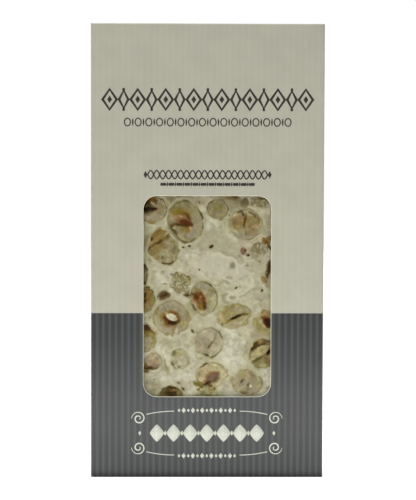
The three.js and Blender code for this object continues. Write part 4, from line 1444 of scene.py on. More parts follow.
@dataclass
class Hazelnut:
    """One cut hazelnut: a knobbly disc of flesh with a bowl-shaped body behind it."""

    number: int
    cut: Cut
    columns: int = 144
    face_rows: int = 42
    body_rows: int = 7
    dome: float = 0.10
    rim_drop: float = 0.18
    wave: float = 0.05
    wet: float = 0.35
    middle: Array = field(init=False)
    half: Array = field(init=False)
    front: float = field(init=False)
    back: float = field(init=False)

    def __post_init__(self) -> None:
        """Takes the nut's middle and half sizes from the box of its CAD node.

        An oval with half sizes a and b, turned by t, has a box of half width w and half height h with
        w^2 = a^2 cos^2 t + b^2 sin^2 t and h^2 = a^2 sin^2 t + b^2 cos^2 t, which gives a and b.
        """
        low, high = box_mm(self.node)
        w, h = ((high - low)[[0, 2]] / 2) ** 2
        c, s = math.cos(math.radians(self.cut.turn)) ** 2, math.sin(math.radians(self.cut.turn)) ** 2
        self.middle = (low + high)[[0, 2]] / 2
        self.half = np.sqrt(np.array([w * c - h * s, h * c - w * s]) / (c - s))
        self.front, self.back = float(low[1]), float(high[1])

    @property
    def node(self) -> str:
        """Name of the CAD node it stands for."""
        return f"hazelnut_{self.number:02d}"

    def outline(self, turn: Array) -> Array:
        """Reach of the outline at angles round the nut: 1, with a bell-shaped knob or dent in places."""
        rough = WaveNoise(500 + self.number)
        reach = 1 + 0.014 * rough.layers(1.5 * np.cos(turn) + 9, 1.5 * np.sin(turn) + 9, 2)
        for place, width, size in self.cut.knobs:
            off = (turn - math.radians(place) + np.pi) % (2 * np.pi) - np.pi
            reach = reach + size * bell(off, math.radians(width))
        return reach

    def reach_at(self, x: Array, z: Array) -> Array:
        """Distance of points from the nut's middle, as a share of the distance to its outline there."""
        u, v = turned(x - self.middle[0], z - self.middle[1], self.cut.turn)
        u, v = u / self.half[0], v / self.half[1]
        return np.hypot(u, v) / self.outline(np.arctan2(v, u) + math.radians(self.cut.turn))

    def paint(self, u: Array, v: Array, reach: Array) -> Canvas:
        """Paints the cut face: base tone, drifting shades, patches, a faint inner ring and a dark rim that
        is partly skin and partly painted shade.

        Args:
            u: Distances to the right of the nut's middle.
            v: Distances above it.
            reach: Shares of the distance to the outline.

        Returns:
            The painted canvas.
        """
        rough = WaveNoise(700 + self.number)
        angle = np.arctan2(v, u)
        canvas = Canvas.of(u, v, self.cut.base)
        wobble = [0.16 * rough.layers(u * 0.9 + shift, v * 0.9 + shift, 4, 0.7) for shift in (30, 50)]
        canvas.tint(0.015 * rough.layers(u / 2.6 + 5, v / 2.6 + 5, 2))
        canvas.patches(each(Patch, self.cut.patches), wobble)
        canvas.shade(0.07 * rough.layers(u / 1.3, v / 1.3, 3, 0.65) + 0.03 * smoothstep(0.7, 0.85, reach))
        ragged = reach + 0.035 * rough.layers(u * 0.9 + 20, v * 0.9, 3)
        flecks = 0.5 + rough.layers(3 * angle + 40, 2 * reach, 3, 0.7)
        patchy = smoothstep(-0.5, 0.4, rough.layers(1.4 * np.cos(angle) + 25, 1.4 * np.sin(angle) + 25, 2))
        # dark broken line at the rim: partly the nut's skin, partly painted shade of the gap round the nut
        canvas.lay(RIM, self.cut.rim * patchy * smoothstep(0.91, 0.985, ragged) * np.clip(flecks, 0.2, 1))
        for arc in each(Arc, self.cut.arcs):
            canvas.lay(arc.tone, arc.cover(angle, ragged))
        return canvas

    def build(self, finish: Material) -> None:
        """Makes the nut from rings: a face of height f(u, v) and a body like half an ellipsoid.

        On the face a ring at share q of the radius holds points at q a cos t, q b sin t times the
        outline's reach, and its height is a low dome less the hollows, plus fine waves. Behind the
        rim the rings close along a quarter of an ellipse.
        """
        rough = WaveNoise(900 + self.number)
        angle = np.linspace(0, 2 * np.pi, self.columns, endpoint=False)
        share = np.linspace(0, 1, self.face_rows + 1)[1:]
        reach, turn = np.meshgrid(share, angle, indexing="ij")
        swell = reach * self.outline(turn + math.radians(self.cut.turn))
        wide, high = self.half
        u, v = turned(wide * np.cos(turn) * swell, high * np.sin(turn) * swell, -self.cut.turn)
        canvas = self.paint(u, v, reach)
        edge = smoothstep(0.84, 1.0, reach)
        waves = self.wave * rough.layers(u * 1.1, v * 1.1, 4, 0.6) * (1 - 0.5 * edge)
        y = self.front + self.dome * reach**2 + self.rim_drop * edge**2 - waves + canvas.sunk
        face = np.stack([self.middle[0] + u, y, self.middle[1] + v], -1)
        close = np.linspace(0, np.pi / 2, self.body_rows + 1)[1:-1, None]
        shrink = np.cos(close) ** 0.6
        deep = y[-1] + (self.back - y[-1]) * np.sin(close)
        body = np.stack([self.middle[0] + u[-1] * shrink, deep, self.middle[1] + v[-1] * shrink], -1)
        start = np.array([self.middle[0], y[0].mean(), self.middle[1]])
        end = np.array([self.middle[0], self.back, self.middle[1]])
        colour = canvas.colour
        tail = np.broadcast_to(colour[-1], (*body.shape[:2], 3)).reshape(-1, 3)
        paint = np.concatenate([colour.reshape(-1, 3), tail, colour[:1].mean(1), colour[-1:].mean(1)])
        marks = {"paint": paint, "wet": np.full(len(paint), self.wet)}
        part = ring_solid(np.concatenate([face, body]), start, end)
        make_piece(f"hazelnut_cut_{self.number:02d}", part, finish, [self.node], marks)


# ---- nougat


@dataclass
class NougatSlice:
    """The slab: crumbly nougat with sockets for the nuts and smooth patches where the wrap touches it."""

    low: Array
    high: Array
    nuts: Sequence[Hazelnut]
    clusters: Sequence[str]
    face: float = -6.36
    thick: float = 6.0
    fine_step: float = 0.28
    coarse_step: float = 1.5
    fine_x: tuple[float, float] = (-25.5, 25.5)
    fine_z: tuple[float, float] = (27.0, 105.0)
    bubbles: int = 200
    bubble_depth: float = 0.3
    broad_wave: float = 0.10
    fine_wave: float = 0.07
    smoothness: float = 0.8
    round_over: float = 2.5
    edge_drop: float = 1.6
    socket: float = 2.6
    cluster_socket: float = 0.6
    lip: float = 0.05

    SMOOTH = (
        (DAMP, 2.4, 86.4, 17, 8.4, -12, 1, 0.7), (DAMP, 1.8, 90, 6, 3.4, 60, 0.8),
        (MILK, 3.6, 78.6, 18, 8, 4, 0.7), (MILK, 9, 75.4, 12, 7, 10, 0.8),
        (DAMP, 18.4, 77, 8, 6, 80, 1.2, 0.5), (PASTE, 14.6, 66.6, 11, 5, 30, 1, 0.7),
        (DAMP, -5.6, 56.8, 5, 6.4, 10, 1, 0.4),
    )
    DRIFTS_AND_PAINTED_SHADING = (
        # the dark patches along the top of the window, at z 96 and above, are partly the nougat's oily
        # colour and partly painted shade under the carton's top edge
        (DUN, -12.5, 100.9, 6.4, 5, -35, 1, 0.9), (DUN, 9.8, 101.2, 6.4, 4, 0, 1.2, 0.8),
        (DUN, 8.6, 96.8, 7, 2.2, 78, 0.9, 0.5), (DUN, 14.4, 100.6, 6, 3.4, 0, 1, 0.8),
        (DUN, 19.4, 101.2, 8, 4, 0, 1, 0.9), (TEA, -21.9, 87, 6, 3, 76, 0.9, 0.6),
        (DUN, 17, 82.4, 8, 3.6, -4, 1, 0.4), (BLUSH, 21.6, 72.4, 6, 2.6, -70, 0.9),
        (BARK, -1.8, 34.9, 7, 2.6, 0, 0.7, 0.9), (BLUSH, 18.4, 51.6, 7, 4.4, -40, 0.8),
        (DUSK, -21.4, 33.4, 4, 8, 20, 1.2), (BLUSH, -3.2, 100.8, 6, 4.4, 10, 1),
        (DUSK, 20.6, 93, 8, 4.4, 84, 1.2), (DUSK, -21.8, 78.6, 6, 3.4, 84, 1),
        (DUSK, 8.4, 80.6, 5, 3, 30, 1, 0.7), (DUSK, -15, 49.6, 4.4, 3, 0, 1, 0.7),
        (SUGAR, -18.4, 92.6, 5.6, 2.6, -20, 0.9), (SUGAR, 1.6, 93.4, 7, 5.4, 80, 1),
        (SUGAR, 10.6, 88.3, 8, 3.2, 6, 0.8), (MILK, -6.6, 82.2, 8, 4.4, 0, 1.2),
        (MILK, -13.2, 76.2, 7, 3, 0, 1), (MILK, -16.6, 72.8, 7, 6, 20, 1.2),
        (MILK, 0.4, 74.2, 9, 4.4, 0, 1.2), (SUGAR, 13.9, 69.6, 10, 5.4, 50, 1, 0.4),
        (SUGAR, -4.6, 58.4, 4, 3, 30, 0.9, 0.6), (MILK, 1.4, 58.6, 5, 4.6, 0, 1.2),
        (MILK, -5.4, 54.6, 5, 5, 0, 1), (SUGAR, 4.4, 44.4, 4, 3, 50, 0.8), (SUGAR, 1.6, 91, 5, 4, 40, 0.9),
        (SUGAR, -9.4, 64.8, 5, 2.6, -35, 0.7, 0.6), (DAMP, -8.2, 50.6, 4, 2.4, 60, 0.7, 0.4),
        (BROWN, -22.7, 39.6, 3, 2.4), (CREAM, 18.4, 86.8, 4, 1.8, 20), (MILK, -0.6, 96.8, 6, 2.6, -65, 0.8),
        (DUN, 11.2, 97.4, 5, 2.6, 60, 0.8, 0.5), (DUN, 5.4, 102.6, 9, 1.8, 0, 0.7, 0.8),
        (DUN, -9, 102.8, 9, 2, 0, 0.7, 0.9), (DUN, -14.3, 98.4, 6, 2, 76, 0.7, 0.9),
        (SKIN, -0.4, 33.5, 6, 2.2, -10, 0.6), (DUN, -6.9, 68.3, 3, 2.6, 0, 0.6),
        (SAND, 15, 48.3, 3, 2.4, 0, 0.6), (GREY, -18.9, 59.9, 3, 1.6, 30, 0.6, 0.5),
        (SUGAR, 7.2, 54, 9, 4.4, -30, 0.9), (SUGAR, -12.2, 52.6, 7, 3, 10, 0.9),
        (SUGAR, -18.2, 46.8, 6.4, 3.4, -20, 0.9), (SUGAR, 7.6, 48, 5.4, 8, 0, 1),
        (MILK, 12.6, 48, 6, 5, 30, 1), (SUGAR, 8.8, 42, 9, 6.4, 10, 1.2), (SUGAR, -6, 42.6, 4.6, 10, 0, 1),
        (SUGAR, -9.6, 37.8, 11, 4.4, -8, 1), (MILK, -15.2, 36.4, 9, 5, 5, 1.2),
        # the pale patches near z 31 are painted light that lifts the shade under the window's bottom lip
        (SUGAR, -12.8, 41.6, 8, 6.4, -50, 1), (SUGAR, -5.2, 31.2, 7, 3.4, 10, 0.8),
        # the bark patch at x -12.6, z 90.2 is painted shade in the gap between nuts 2 and 5
        (DUSK, -20.2, 33, 8, 5, 0, 1.2), (BARK, -12.6, 90.2, 8, 2.6, -56, 0.7, 0.8),
        (SUGAR, 8.6, 37.4, 4, 4, 60, 1, 0.8), (SUGAR, 10.4, 31, 9, 4.4, 10, 0.9),
        (SUGAR, 20.6, 35.4, 13, 6.4, 70, 0.7), (SUGAR, 3.4, 32.4, 4, 3, 0, 0.9, 0.6),
        (SUGAR, -18.8, 80.6, 4, 5.6, 0, 1, 0.7), (MILK, 15.8, 76.4, 7, 6, 0, 1.2, 0.4),
        (BARK, 13.5, 100.6, 4.2, 3.4, 88, 0.3, 0.7), (DUSK, 14.1, 47.6, 4, 1.4, 80, 0.6),
        (OLIVE, 9, 35.7, 2.6, 1.2, 60, 0.5, 0.8), (CRUST, 8.4, 102.9, 7.6, 1.9, 0, 0.5, 0.7),
        (GREY, 8.6, 100.2, 4, 3, 0, 0.8, 0.7), (BARK, 17.8, 100.4, 7, 2.6, 0, 1, 0.35),
        (BARK, -12.2, 100.6, 4.4, 3, -35, 1, 0.45), (MILK, -7.6, 86, 5, 3, 0, 1, 0.6),
        (SUGAR, 18.2, 85.4, 3.4, 2.4, 0, 1, 0.7), (DUSK, 11.8, 79.6, 3.4, 2.8, 0, 0.9, 0.8),
        (DUSK, -21.2, 73.4, 3.4, 3.6, 0, 1, 0.8), (DUN, -5.4, 62.4, 5, 3.4, -50, 1, 0.6),
        (DUSK, 0.2, 55.4, 3.6, 2.2, 0, 0.8, 0.6), (DUN, -15, 40.4, 2.6, 4, 10, 0.8, 0.5),
        (SKIN, -2.6, 34.8, 3.4, 2.4, 0, 0.6, 0.8), (SUGAR, 19, 60.4, 4, 3.4, 0, 1, 0.8),
        (LIME, -8.8, 57.4, 2.6, 5, 20, 0.9, 0.5), (LIME, 5, 62.4, 5, 2.6, 30, 0.9, 0.5),
    )
    # the pale SEAM lines are painted highlights along raised contours of the paste and the grey lines
    # beside them are painted shade; the olive, green, skin and rim lines are specks and streaks of the
    # paste's own colour
    LINES_AND_PAINTED_RIDGE_LIGHT = (
        (GREY, ((5.2, 83), (6.8, 81.7), (8.8, 81.6), (10.4, 80.6), (11.4, 79.2)), 0.7, 0.7),
        (SEAM, (
            (0, 82.7), (1.5, 81.6), (3.5, 82.4), (4.8, 82.5), (6.1, 81.3), (6.8, 80.8), (8.6, 80.8),
            (10.6, 79.4), (11, 77.5), (11.1, 75),
        ), 0.7, 1, -0.1),
        (GREY, ((5.4, 72.5), (7, 72), (8, 71.3)), 0.6, 0.5),
        (SEAM, ((0.1, 74.2), (2, 73.7), (5.5, 73.5), (7.5, 72.8), (9.8, 71.2)), 0.6, 0.8, -0.06),
        (GREY, ((7.4, 73.4), (8.8, 73.3)), 0.8, 0.7),
        (GREY, ((7, 67.2), (6, 66.4), (5.9, 65.2), (6.6, 64.5), (7.8, 64.2)), 0.9, 0.8, 0.05),
        (SEAM, ((8, 67), (7.6, 66), (8.2, 65.1), (10, 64.9), (11.4, 65.4), (11.8, 66.4)), 0.6, 0.8),
        (GREY, ((8.8, 66.1), (9.8, 66.1)), 1, 0.9, 0.05),
        (SEAM, ((8.2, 66.9), (10, 68), (12, 70), (14, 71.6), (15.5, 72.6)), 0.6, 0.9, -0.06),
        (GREY, ((11.9, 66.5), (12.8, 66.9), (14.4, 68), (16, 68.8), (18, 69.4), (19, 69.4)), 0.8, 0.6),
        (SEAM, ((11.5, 66.9), (13, 67.5), (15, 69.1), (16.5, 70.1)), 0.6, 0.9, -0.06),
        (OLIVE, ((-15.5, 43.2), (-15.2, 41.6), (-14.7, 40.2)), 0.5, 0.8, 0.05),
        (GREEN, ((-14.6, 39.6), (-14.3, 38.6)), 1.3, 0.5),
        (SEAM, ((15, 102.4), (15.7, 101.4), (15.3, 99.6)), 0.6, 0.6),
        (SKIN, ((9.8, 102.9), (10.6, 102.9)), 0.9, 0.8),
        (RIM, ((9.2, 78), (9.3, 77.6)), 1.5, 0.55, 0.05),
    )

    def axis(self, low: float, high: float, fine: tuple[float, float]) -> Array:
        """Places along an axis: coarse steps at both ends and fine ones behind the window."""
        places, steps = (low, *fine, high), (self.coarse_step, self.fine_step, self.coarse_step)
        runs = []
        for a, b, step in zip(places, places[1:], steps):
            runs.append(np.linspace(a, b, max(2, round((b - a) / step)), endpoint=b == high))
        return np.concatenate(runs)

    def sockets(self, x: Array, z: Array, canvas: Canvas, ragged: Array) -> Array:
        """Sinks a socket for every nut and cluster, with a raised, pale lip and an olive edge; round a nut
        the olive edge and a soft darker halo are painted shade.

        Args:
            x: Places across the slab.
            z: Places up the slab.
            canvas: The slab's canvas, which gets the colours.
            ragged: Small random distances that break the lips up.

        Returns:
            The height to add.
        """
        height = np.zeros_like(x)
        patchy = smoothstep(-0.1, 0.5, WaveNoise(13).layers(x / 2.6, z / 2.6, 2))
        for nut in self.nuts:
            gap = (nut.reach_at(x, z) - 1) * nut.half.mean() + 0.5 * ragged
            height -= self.socket * smoothstep(-0.3, -1.4, gap)
            height += self.lip * bell(gap - 0.35, 0.4)
            # painted shade: a soft darker halo round the nut
            canvas.lay(LIME, 0.45 * np.exp(-np.clip(gap, 0, None) / 1.2))
            canvas.lay(SEAM, 0.6 * patchy * bell(gap - 0.6 - 0.5 * ragged, 0.4))
            # painted shade: an olive line in the gap at the nut's edge
            canvas.lay(OLIVE, (0.2 + 0.5 * patchy) * smoothstep(0.35, -0.2, gap))
        for node in self.clusters:
            low, high = box_mm(node)
            middle, half = (low + high) / 2, (high - low) / 2
            reach = np.hypot((x - middle[0]) / half[0], (z - middle[2]) / half[2]) + 0.3 * ragged
            height -= self.cluster_socket * smoothstep(1.02, 0.7, reach)
            canvas.lay(OLIVE, 0.6 * smoothstep(1.15, 0.75, reach))
        return height

    def build(self, finish: Material) -> None:
        """Makes the slab as a height over x and z, closed by its edges and a fan behind.

        The height is layered waves with open bubbles, flattened on the smooth patches, less the sockets
        and the hollows of the lines.
        """
        rough, slow = WaveNoise(11), WaveNoise(12)
        rng = np.random.default_rng(41)
        across = self.axis(self.low[0], self.high[0], self.fine_x)
        x, z = np.meshgrid(across, self.axis(self.low[2], self.high[2], self.fine_z), indexing="ij")
        canvas = Canvas.of(x, z, PASTE)
        wobble = (0.5 * slow.layers(x / 2.4, z / 2.4, 3), 0.5 * slow.layers(x / 2.4 + 30, z / 2.4 + 30, 3))
        canvas.tint(0.02 * slow.layers(x / 5 + 11, z / 5, 2))
        canvas.patches(each(Patch, self.DRIFTS_AND_PAINTED_SHADING), wobble)
        smooth = each(Patch, self.SMOOTH)
        covers = [patch.cover(x + wobble[0], z + wobble[1]) for patch in smooth]
        wet = np.clip(np.max(covers, axis=0), 0, 1)
        canvas.patches(smooth, wobble)
        crumbly = 1 - self.smoothness * wet
        mottle = 0.075 * rough.layers(x / 1.5 + 5, z / 1.5, 4, 0.75)
        canvas.shade(crumbly * mottle + 0.02 * slow.layers(x / 6, z / 6, 2))
        canvas.patches(each(Trace, self.LINES_AND_PAINTED_RIDGE_LIGHT), (0.3 * wobble[0], 0.3 * wobble[1]))
        for bit in each(Patch, Fragments.SCRAPS + Fragments.SPECKS + Fragments.CLEAR_BITS):
            soft = min(0.4, 0.3 * bit.wide)
            halo = replace(bit, long=bit.long + soft, wide=bit.wide + 0.5 * soft, soft=soft)
            canvas.lay(bit.tone, 0.85 * halo.cover(x + 0.5 * wobble[0], z + 0.5 * wobble[1]))
        broad, fine = slow.layers(x / 8, z / 8, 3), rough.layers(x / 1.6, z / 1.6, 4, 0.6)
        height = crumbly * (self.broad_wave * broad + self.fine_wave * fine)
        ranges = ((-26, 26), (26, 106), (0.25, 0.7))
        for px, pz, size in zip(*(rng.uniform(*limits, self.bubbles) for limits in ranges)):
            pit = crumbly * np.exp(-(((x - px) ** 2 + (z - pz) ** 2) / size**2) ** 1.5)
            height -= self.bubble_depth * size * pit
            # painted shade: the open bubble darkened olive in step with its depth
            canvas.lay(OLIVE, 0.35 * pit)
        height += self.sockets(x, z, canvas, rough.layers(x * 0.6, z * 0.6, 4)) - canvas.sunk
        across = np.clip((np.abs(x) - self.high[0] + self.round_over) / self.round_over, 0, 1)
        upward = np.clip((z - self.high[2] + self.round_over) / self.round_over, 0, 1)
        height -= self.edge_drop * np.maximum(across, upward) ** 2.5
        front = np.stack([x, self.face - height, z], -1).reshape(-1, 3)
        loop = border(*x.shape)
        behind = front[loop] * np.array([1, 0, 1]) + np.array([0, self.face + self.thick, 0])
        points = np.concatenate([front, behind, behind.mean(0)[None]])
        onward = np.arange(len(loop)) + len(front)
        faces = [grid_faces(*x.shape, False), band_faces(loop, onward), fan_faces(onward, len(points) - 1)]
        tail = len(points) - len(front)
        paint = np.concatenate([canvas.colour.reshape(-1, 3), np.tile(PASTE.value, (tail, 1))])
        marks = {"paint": paint, "wet": np.append(wet.ravel(), np.zeros(tail))}
        make_piece("nougat_slab", (points, faces), finish, [SLICE], marks)


@dataclass
class Fragments:
    """Loose bits in the face of the slice: chopped nut, scraps of skin, specks and crumbs."""

    finish: Material
    face: float = -6.45
    columns: int = 14
    rows: int = 9
    wet: float = 0.3
    golden_angle: float = 2.39996

    SCRAPS = (
        (BROWN, -16, 66.8, 4.8, 3.2, 14), (BROWN, -6.7, 67.1, 3.8, 1.8, 3),
        (RUST, 21.4, 86.6, 3.4, 2.4, -50), (TEA, 22.7, 87.8, 2.4, 2, 20), (BARK, 22.6, 84.6, 2.8, 1, -50),
        (BROWN, 22.4, 76.4, 6.8, 1.5, 83), (TEA, 20.9, 72.7, 3.2, 1.4, -55),
        (BARK, -8.8, 32.5, 2, 0.9, -45),
    )
    SPECKS = (
        (BROWN, 1.5, 84.8, 1.9, 0.9, 45), (BROWN, 15, 81.7, 0.8, 0.8), (SKIN, -8.8, 84.5, 0.8, 0.6),
        (SKIN, -6.6, 85, 1, 0.8), (OLIVE, -2.9, 100.8, 1.2, 0.6, 90), (SKIN, 8.1, 96.3, 0.5, 0.4),
        (SKIN, -2.9, 76.3, 0.6, 0.5), (GREY, -13, 74.5, 1, 0.8), (OLIVE, -11.4, 74.9, 0.8, 0.7),
        (LIME, -15.4, 71, 2, 0.7), (OLIVE, -21, 58.7, 0.7, 0.6), (GREY, 14.6, 77.9, 1.4, 0.9),
        (DUN, 19.2, 79.4, 0.9, 0.6), (BARK, 10.6, 69.6, 1.2, 0.6, 45), (SKIN, 20, 68.7, 0.9, 0.8),
        (BARK, -5.4, 53.8, 1.7, 0.9, -50), (LIME, -2.2, 43.6, 1.4, 0.8), (BARK, -0.6, 41.6, 1.9, 0.8, 30),
        (DUN, -10.4, 34.7, 1.1, 0.9), (GREY, -19.3, 35.9, 0.8, 0.6), (GREY, -22, 34.6, 0.9, 0.7),
        (PLUM, 13.3, 83, 2, 2.8), (RUST, 13.4, 83.4, 1.6, 1.4),
    )
    CLEAR_BITS = (
        (MOSS, -3.6, 34.2, 2.4, 1.4), (RUST, 0.9, 33.7, 2.6, 1.2, -10), (MOSS, -2.2, 33.2, 1.8, 1, -30),
        (BUTTER, -0.7, 32.4, 1.8, 1.2, 30), (AMBER, 2.6, 32.4, 1.8, 1, 60), (SKIN, -1, 33.9, 1.8, 0.7),
        (BUTTER, 1.6, 31.4, 1.4, 1, 20), (AMBER, -3, 32.2, 1.2, 1, 50),
    )

    CHOPPED = (
        (30, (LIME, SAND, STRAW, SAGE, LIME, OLIVE)),
        (16, (SAGE, DUN, FLESH, OLIVE)),
        (22, (FLESH, SAND, SAGE, BLUSH, SAGE)),
    )

    def pebble(self, bit: Patch, proud: float, seed: int) -> Part:
        """A flat knobbly bit: an ellipsoid whose radius swells and shrinks with waves over its surface.

        Args:
            bit: Its tone and plan.
            proud: How far it stands out of the slice's face.
            seed: Seed of its waves.

        Returns:
            Its points and faces.
        """
        noise = WaveNoise(seed)
        up = np.linspace(0, np.pi, self.rows + 2)[1:-1, None]
        around = np.linspace(0, 2 * np.pi, self.columns, endpoint=False)[None]
        a, b = np.sin(up) * np.cos(around), np.sin(up) * np.sin(around)
        c = np.cos(up) * np.ones_like(around)
        swell = 1 + 0.3 * noise.layers(1.9 * a + 9 + c, 1.9 * b + 9 - c, 3)
        u, v = turned(a * bit.long / 2 * swell, b * bit.wide / 2 * swell, -bit.turn)
        deep = max(proud, 0.4 * bit.wide)
        rings = np.stack([bit.x + u, self.face + (deep - proud) - c * deep * swell, bit.z + v], -1)
        poles = [np.array([bit.x, self.face + level, bit.z]) for level in (-proud, 2 * deep - proud)]
        return ring_solid(rings, *poles)

    def scatter(
        self, name: str, bits: Sequence[Patch], proud: float, seed: int,
        node: str = SLICE,
    ) -> None:
        """Joins one kind of bit in one piece, each bit mottled round its own tone.

        Args:
            name: Name of the piece.
            bits: The bits.
            proud: How far they stand out of the slice's face.
            seed: Seed of their shapes and mottling.
            node: CAD node that the piece replaces.
        """
        parts = [self.pebble(bit, proud, seed + k) for k, bit in enumerate(bits)]
        rng = np.random.default_rng(seed)
        paint = np.concatenate([
            np.array(bit.tone.value) * (1 + rng.normal(0, 0.12, (len(points), 1)))
            for bit, (points, _) in zip(bits, parts)
        ])
        marks = {"paint": paint, "wet": np.full(len(paint), self.wet)}
        make_piece(name, joined(parts), self.finish, [node], marks)

    def chopped(self, node: str, count: int, tones: Sequence[Tone], seed: int) -> list[Patch]:
        """Chopped bits inside a CAD cluster, spread by the golden angle, their tones taken by turns.

        Args:
            node: CAD node of the cluster.
            count: How many bits.
            tones: Their tones.
            seed: Seed of their sizes and turns.

        Returns:
            The bits.
        """
        low, high = box_mm(node)
        middle, half = (low + high) / 2, (high - low) / 2
        rng = np.random.default_rng(seed)
        bits = []
        for k in range(count):
            reach = 0.95 * math.sqrt((k + 0.5) / count)
            angle = k * self.golden_angle + rng.uniform(0, 0.7)
            long = rng.uniform(1.4, 3.0)
            x = middle[0] + half[0] * reach * math.cos(angle)
            z = middle[2] + half[2] * reach * math.sin(angle)
            bits.append(Patch(tones[k % len(tones)], x, z, long, 0.6 * long, rng.uniform(0, 180)))
        return bits

    def crumbs(self, nuts: Sequence[Hazelnut], seed: int, count: int) -> list[Patch]:
        """Tiny crumbs over the nougat in the window, clear of the nuts."""
        rng = np.random.default_rng(seed)
        x, z = rng.uniform(-22.5, 22.5, count), rng.uniform(30.5, 101.5, count)
        size, turn = rng.uniform(0.25, 0.7, count), rng.uniform(0, 180, count)
        clear = np.flatnonzero(np.min([nut.reach_at(x, z) for nut in nuts], axis=0) > 1.08)
        tones = (SUGAR, WHITE, LILAC)
        return each(Patch, ((tones[k % 3], x[k], z[k], size[k], size[k] * 0.7, turn[k]) for k in clear))

    def build(self, nuts: Sequence[Hazelnut]) -> None:
        """Builds and dresses every kind of bit."""
        self.scatter("skin_scraps", each(Patch, self.SCRAPS), proud=0.08, seed=900)
        self.scatter("dark_specks", each(Patch, self.SPECKS), proud=0.1, seed=940)
        self.scatter("amber_bits", each(Patch, self.CLEAR_BITS), proud=0.08, seed=970)
        crumbs = self.crumbs(nuts, seed=77, count=200)
        self.scatter("pale_crumbs", crumbs, proud=0.07, seed=1300)
        for k, (count, tones) in enumerate(self.CHOPPED, start=1):
            node = f"chopped_nut_{k}"
            bits = self.chopped(node, count, tones, seed=k)
            self.scatter(f"chopped_bits_{k}", bits, 0.06, 1000 + 60 * k, node)


# ---- studio


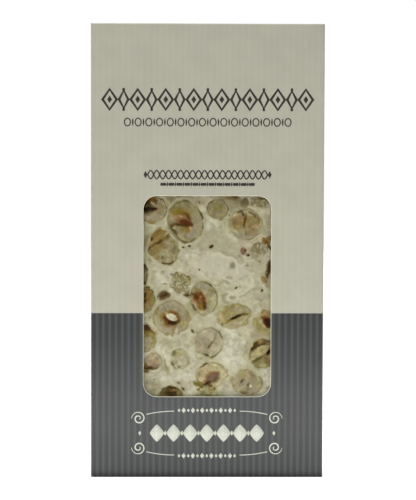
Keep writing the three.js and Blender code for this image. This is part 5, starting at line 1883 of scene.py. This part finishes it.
@dataclass
class Studio:
    """Pale floor, soft lights and camera, in metres."""

    eye: tuple[float, float, float] = (-0.015, -0.9, 0.146)
    pitch: float = 3.998
    yaw: float = 0.978
    roll: float = 0.171
    lens: float = 176.5
    floor_radius: float = 1.2
    surround: float = 0.3
    white: float = 1.05

    def floor(self) -> None:
        """A round floor as rings about the middle, just under the carton."""
        angle = np.linspace(0, 2 * np.pi, 96, endpoint=False)
        radius = np.array([0.05, 0.2, 0.6, self.floor_radius])[:, None] / MM
        top = np.stack(np.broadcast_arrays(radius * np.cos(angle), radius * np.sin(angle), -0.02), -1)
        poles = [np.array([0, 0, level]) for level in (-0.02, -10.02)]
        made, g, shader = new_material("floor_paper")
        cloud = g.noise(g.place(), scale=40, detail=3)
        paper = g.mix(cloud, linear(243, 243, 243), linear(247, 247, 247))
        seen = g.node("ShaderNodeLightPath").outputs["Is Camera Ray"]
        g.feed(shader, {
            "Base Color": paper,
            "Roughness": 0.9,
            "Emission Color": (1, 1, 1, 1),
            "Emission Strength": g.math("MULTIPLY", seen, 0.5),
        })
        rings = np.concatenate([top, top[::-1] - np.array([0, 0, 10.0])])
        make_mesh("floor", ring_solid(rings, *poles), made)

    def lamp(
        self, name: str, place: Sequence[float], aim: Sequence[float], size: Sequence[float], power: float,
    ) -> Object:
        """A soft rectangular light at a place, aimed at a point.

        Args:
            name: Name of the light.
            place: Where it stands.
            aim: The point it faces.
            size: Its width and height.
            power: Its power in watts.

        Returns:
            The light's object.
        """
        data = bpy.data.lights.new(name, "AREA")
        data.shape = "RECTANGLE"
        data.size, data.size_y = size
        data.energy = power
        made = add_object(name, data)
        away = np.array(aim) - np.array(place)
        made.location = place
        tilt = math.atan2(math.hypot(away[0], away[1]), -away[2])
        made.rotation_euler = (tilt, 0, math.atan2(-away[0], away[1]))
        return made

    def lights(self) -> None:
        """A dim surround that the camera sees white, two soft lights and a low pale card."""
        world = bpy.data.worlds.new("surround")
        world.use_nodes = True
        bpy.context.scene.world = world
        g = Graph(world.node_tree)
        back = world.node_tree.nodes["Background"]
        seen = g.node("ShaderNodeLightPath").outputs["Is Camera Ray"]
        g.feed(back, {"Color": (1, 1, 1, 1), "Strength": g.ramp(seen, 0, 1, self.surround, self.white)})
        self.lamp("sky", (0, 0.75, 2), aim=(0, 0.75, 0), size=(4, 4), power=90)
        self.lamp("window_light", (-0.55, -0.8, 0.75), aim=(0, 0, 0.08), size=(0.5, 0.5), power=3.4)
        card = self.lamp("card", (0, -0.085, 0.001), aim=(0, -0.085, 1), size=(0.5, 0.15), power=0.26)
        card.visible_camera = False

    def camera(self) -> None:
        """Camera in front, a little above the window and turned slightly to the right."""
        data = bpy.data.cameras.new("camera")
        data.lens = self.lens
        data.sensor_width = 36.0
        data.clip_start = 0.02
        data.clip_end = 50.0
        made = add_object("camera", data)
        pitch, yaw, roll = (math.radians(angle) for angle in (self.pitch, self.yaw, self.roll))
        level = math.cos(pitch)
        ahead = np.array([math.sin(yaw) * level, math.cos(yaw) * level, -math.sin(pitch)])
        right = np.cross(ahead, [0, 0, 1.0])
        right /= np.linalg.norm(right)
        up = np.cross(right, ahead)
        side = right * math.cos(roll) + up * math.sin(roll)
        top = up * math.cos(roll) - right * math.sin(roll)
        made.location = self.eye
        made.rotation_mode = "QUATERNION"
        made.rotation_quaternion = Matrix(np.stack([side, top, -ahead], -1).tolist()).to_quaternion()
        bpy.context.scene.camera = made

    def build(self) -> None:
        """Sets up the floor, the lights and the camera."""
        self.floor()
        self.lights()
        self.camera()
        bpy.context.scene.view_settings.view_transform = "Standard"


def main() -> None:
    """Builds the studio, the carton, the film, the slice and its nuts, in that order."""
    logging.basicConfig(level=logging.INFO, format="%(message)s")
    Studio().build()
    effects = SharedEffects()
    board = CartonBoard(*box_mm("carton"))
    Carton(board, WindowShape()).build(effects)
    FrontOrnaments(board).build(effects)
    WindowFilm(*box_mm("window_film")).build()
    flesh = Food("nut_flesh", relief_mm=0.08, mottle=0.16).material(effects)
    paste = Food("nougat_paste", relief_mm=0.14, mottle=0.05, roughness=0.7, wet_roughness=0.45)
    nuts = [Hazelnut(number, cut) for number, cut in HAZELNUTS.items()]
    for nut in nuts:
        nut.build(flesh)
    clusters = [f"chopped_nut_{k}" for k in (1, 2, 3)]
    NougatSlice(*box_mm(SLICE), nuts, clusters).build(paste.material(effects))
    Fragments(Food("loose_bits", relief_mm=0.10, mottle=0.12).material(effects)).build(nuts)


if __name__ == "__main__":
    main()
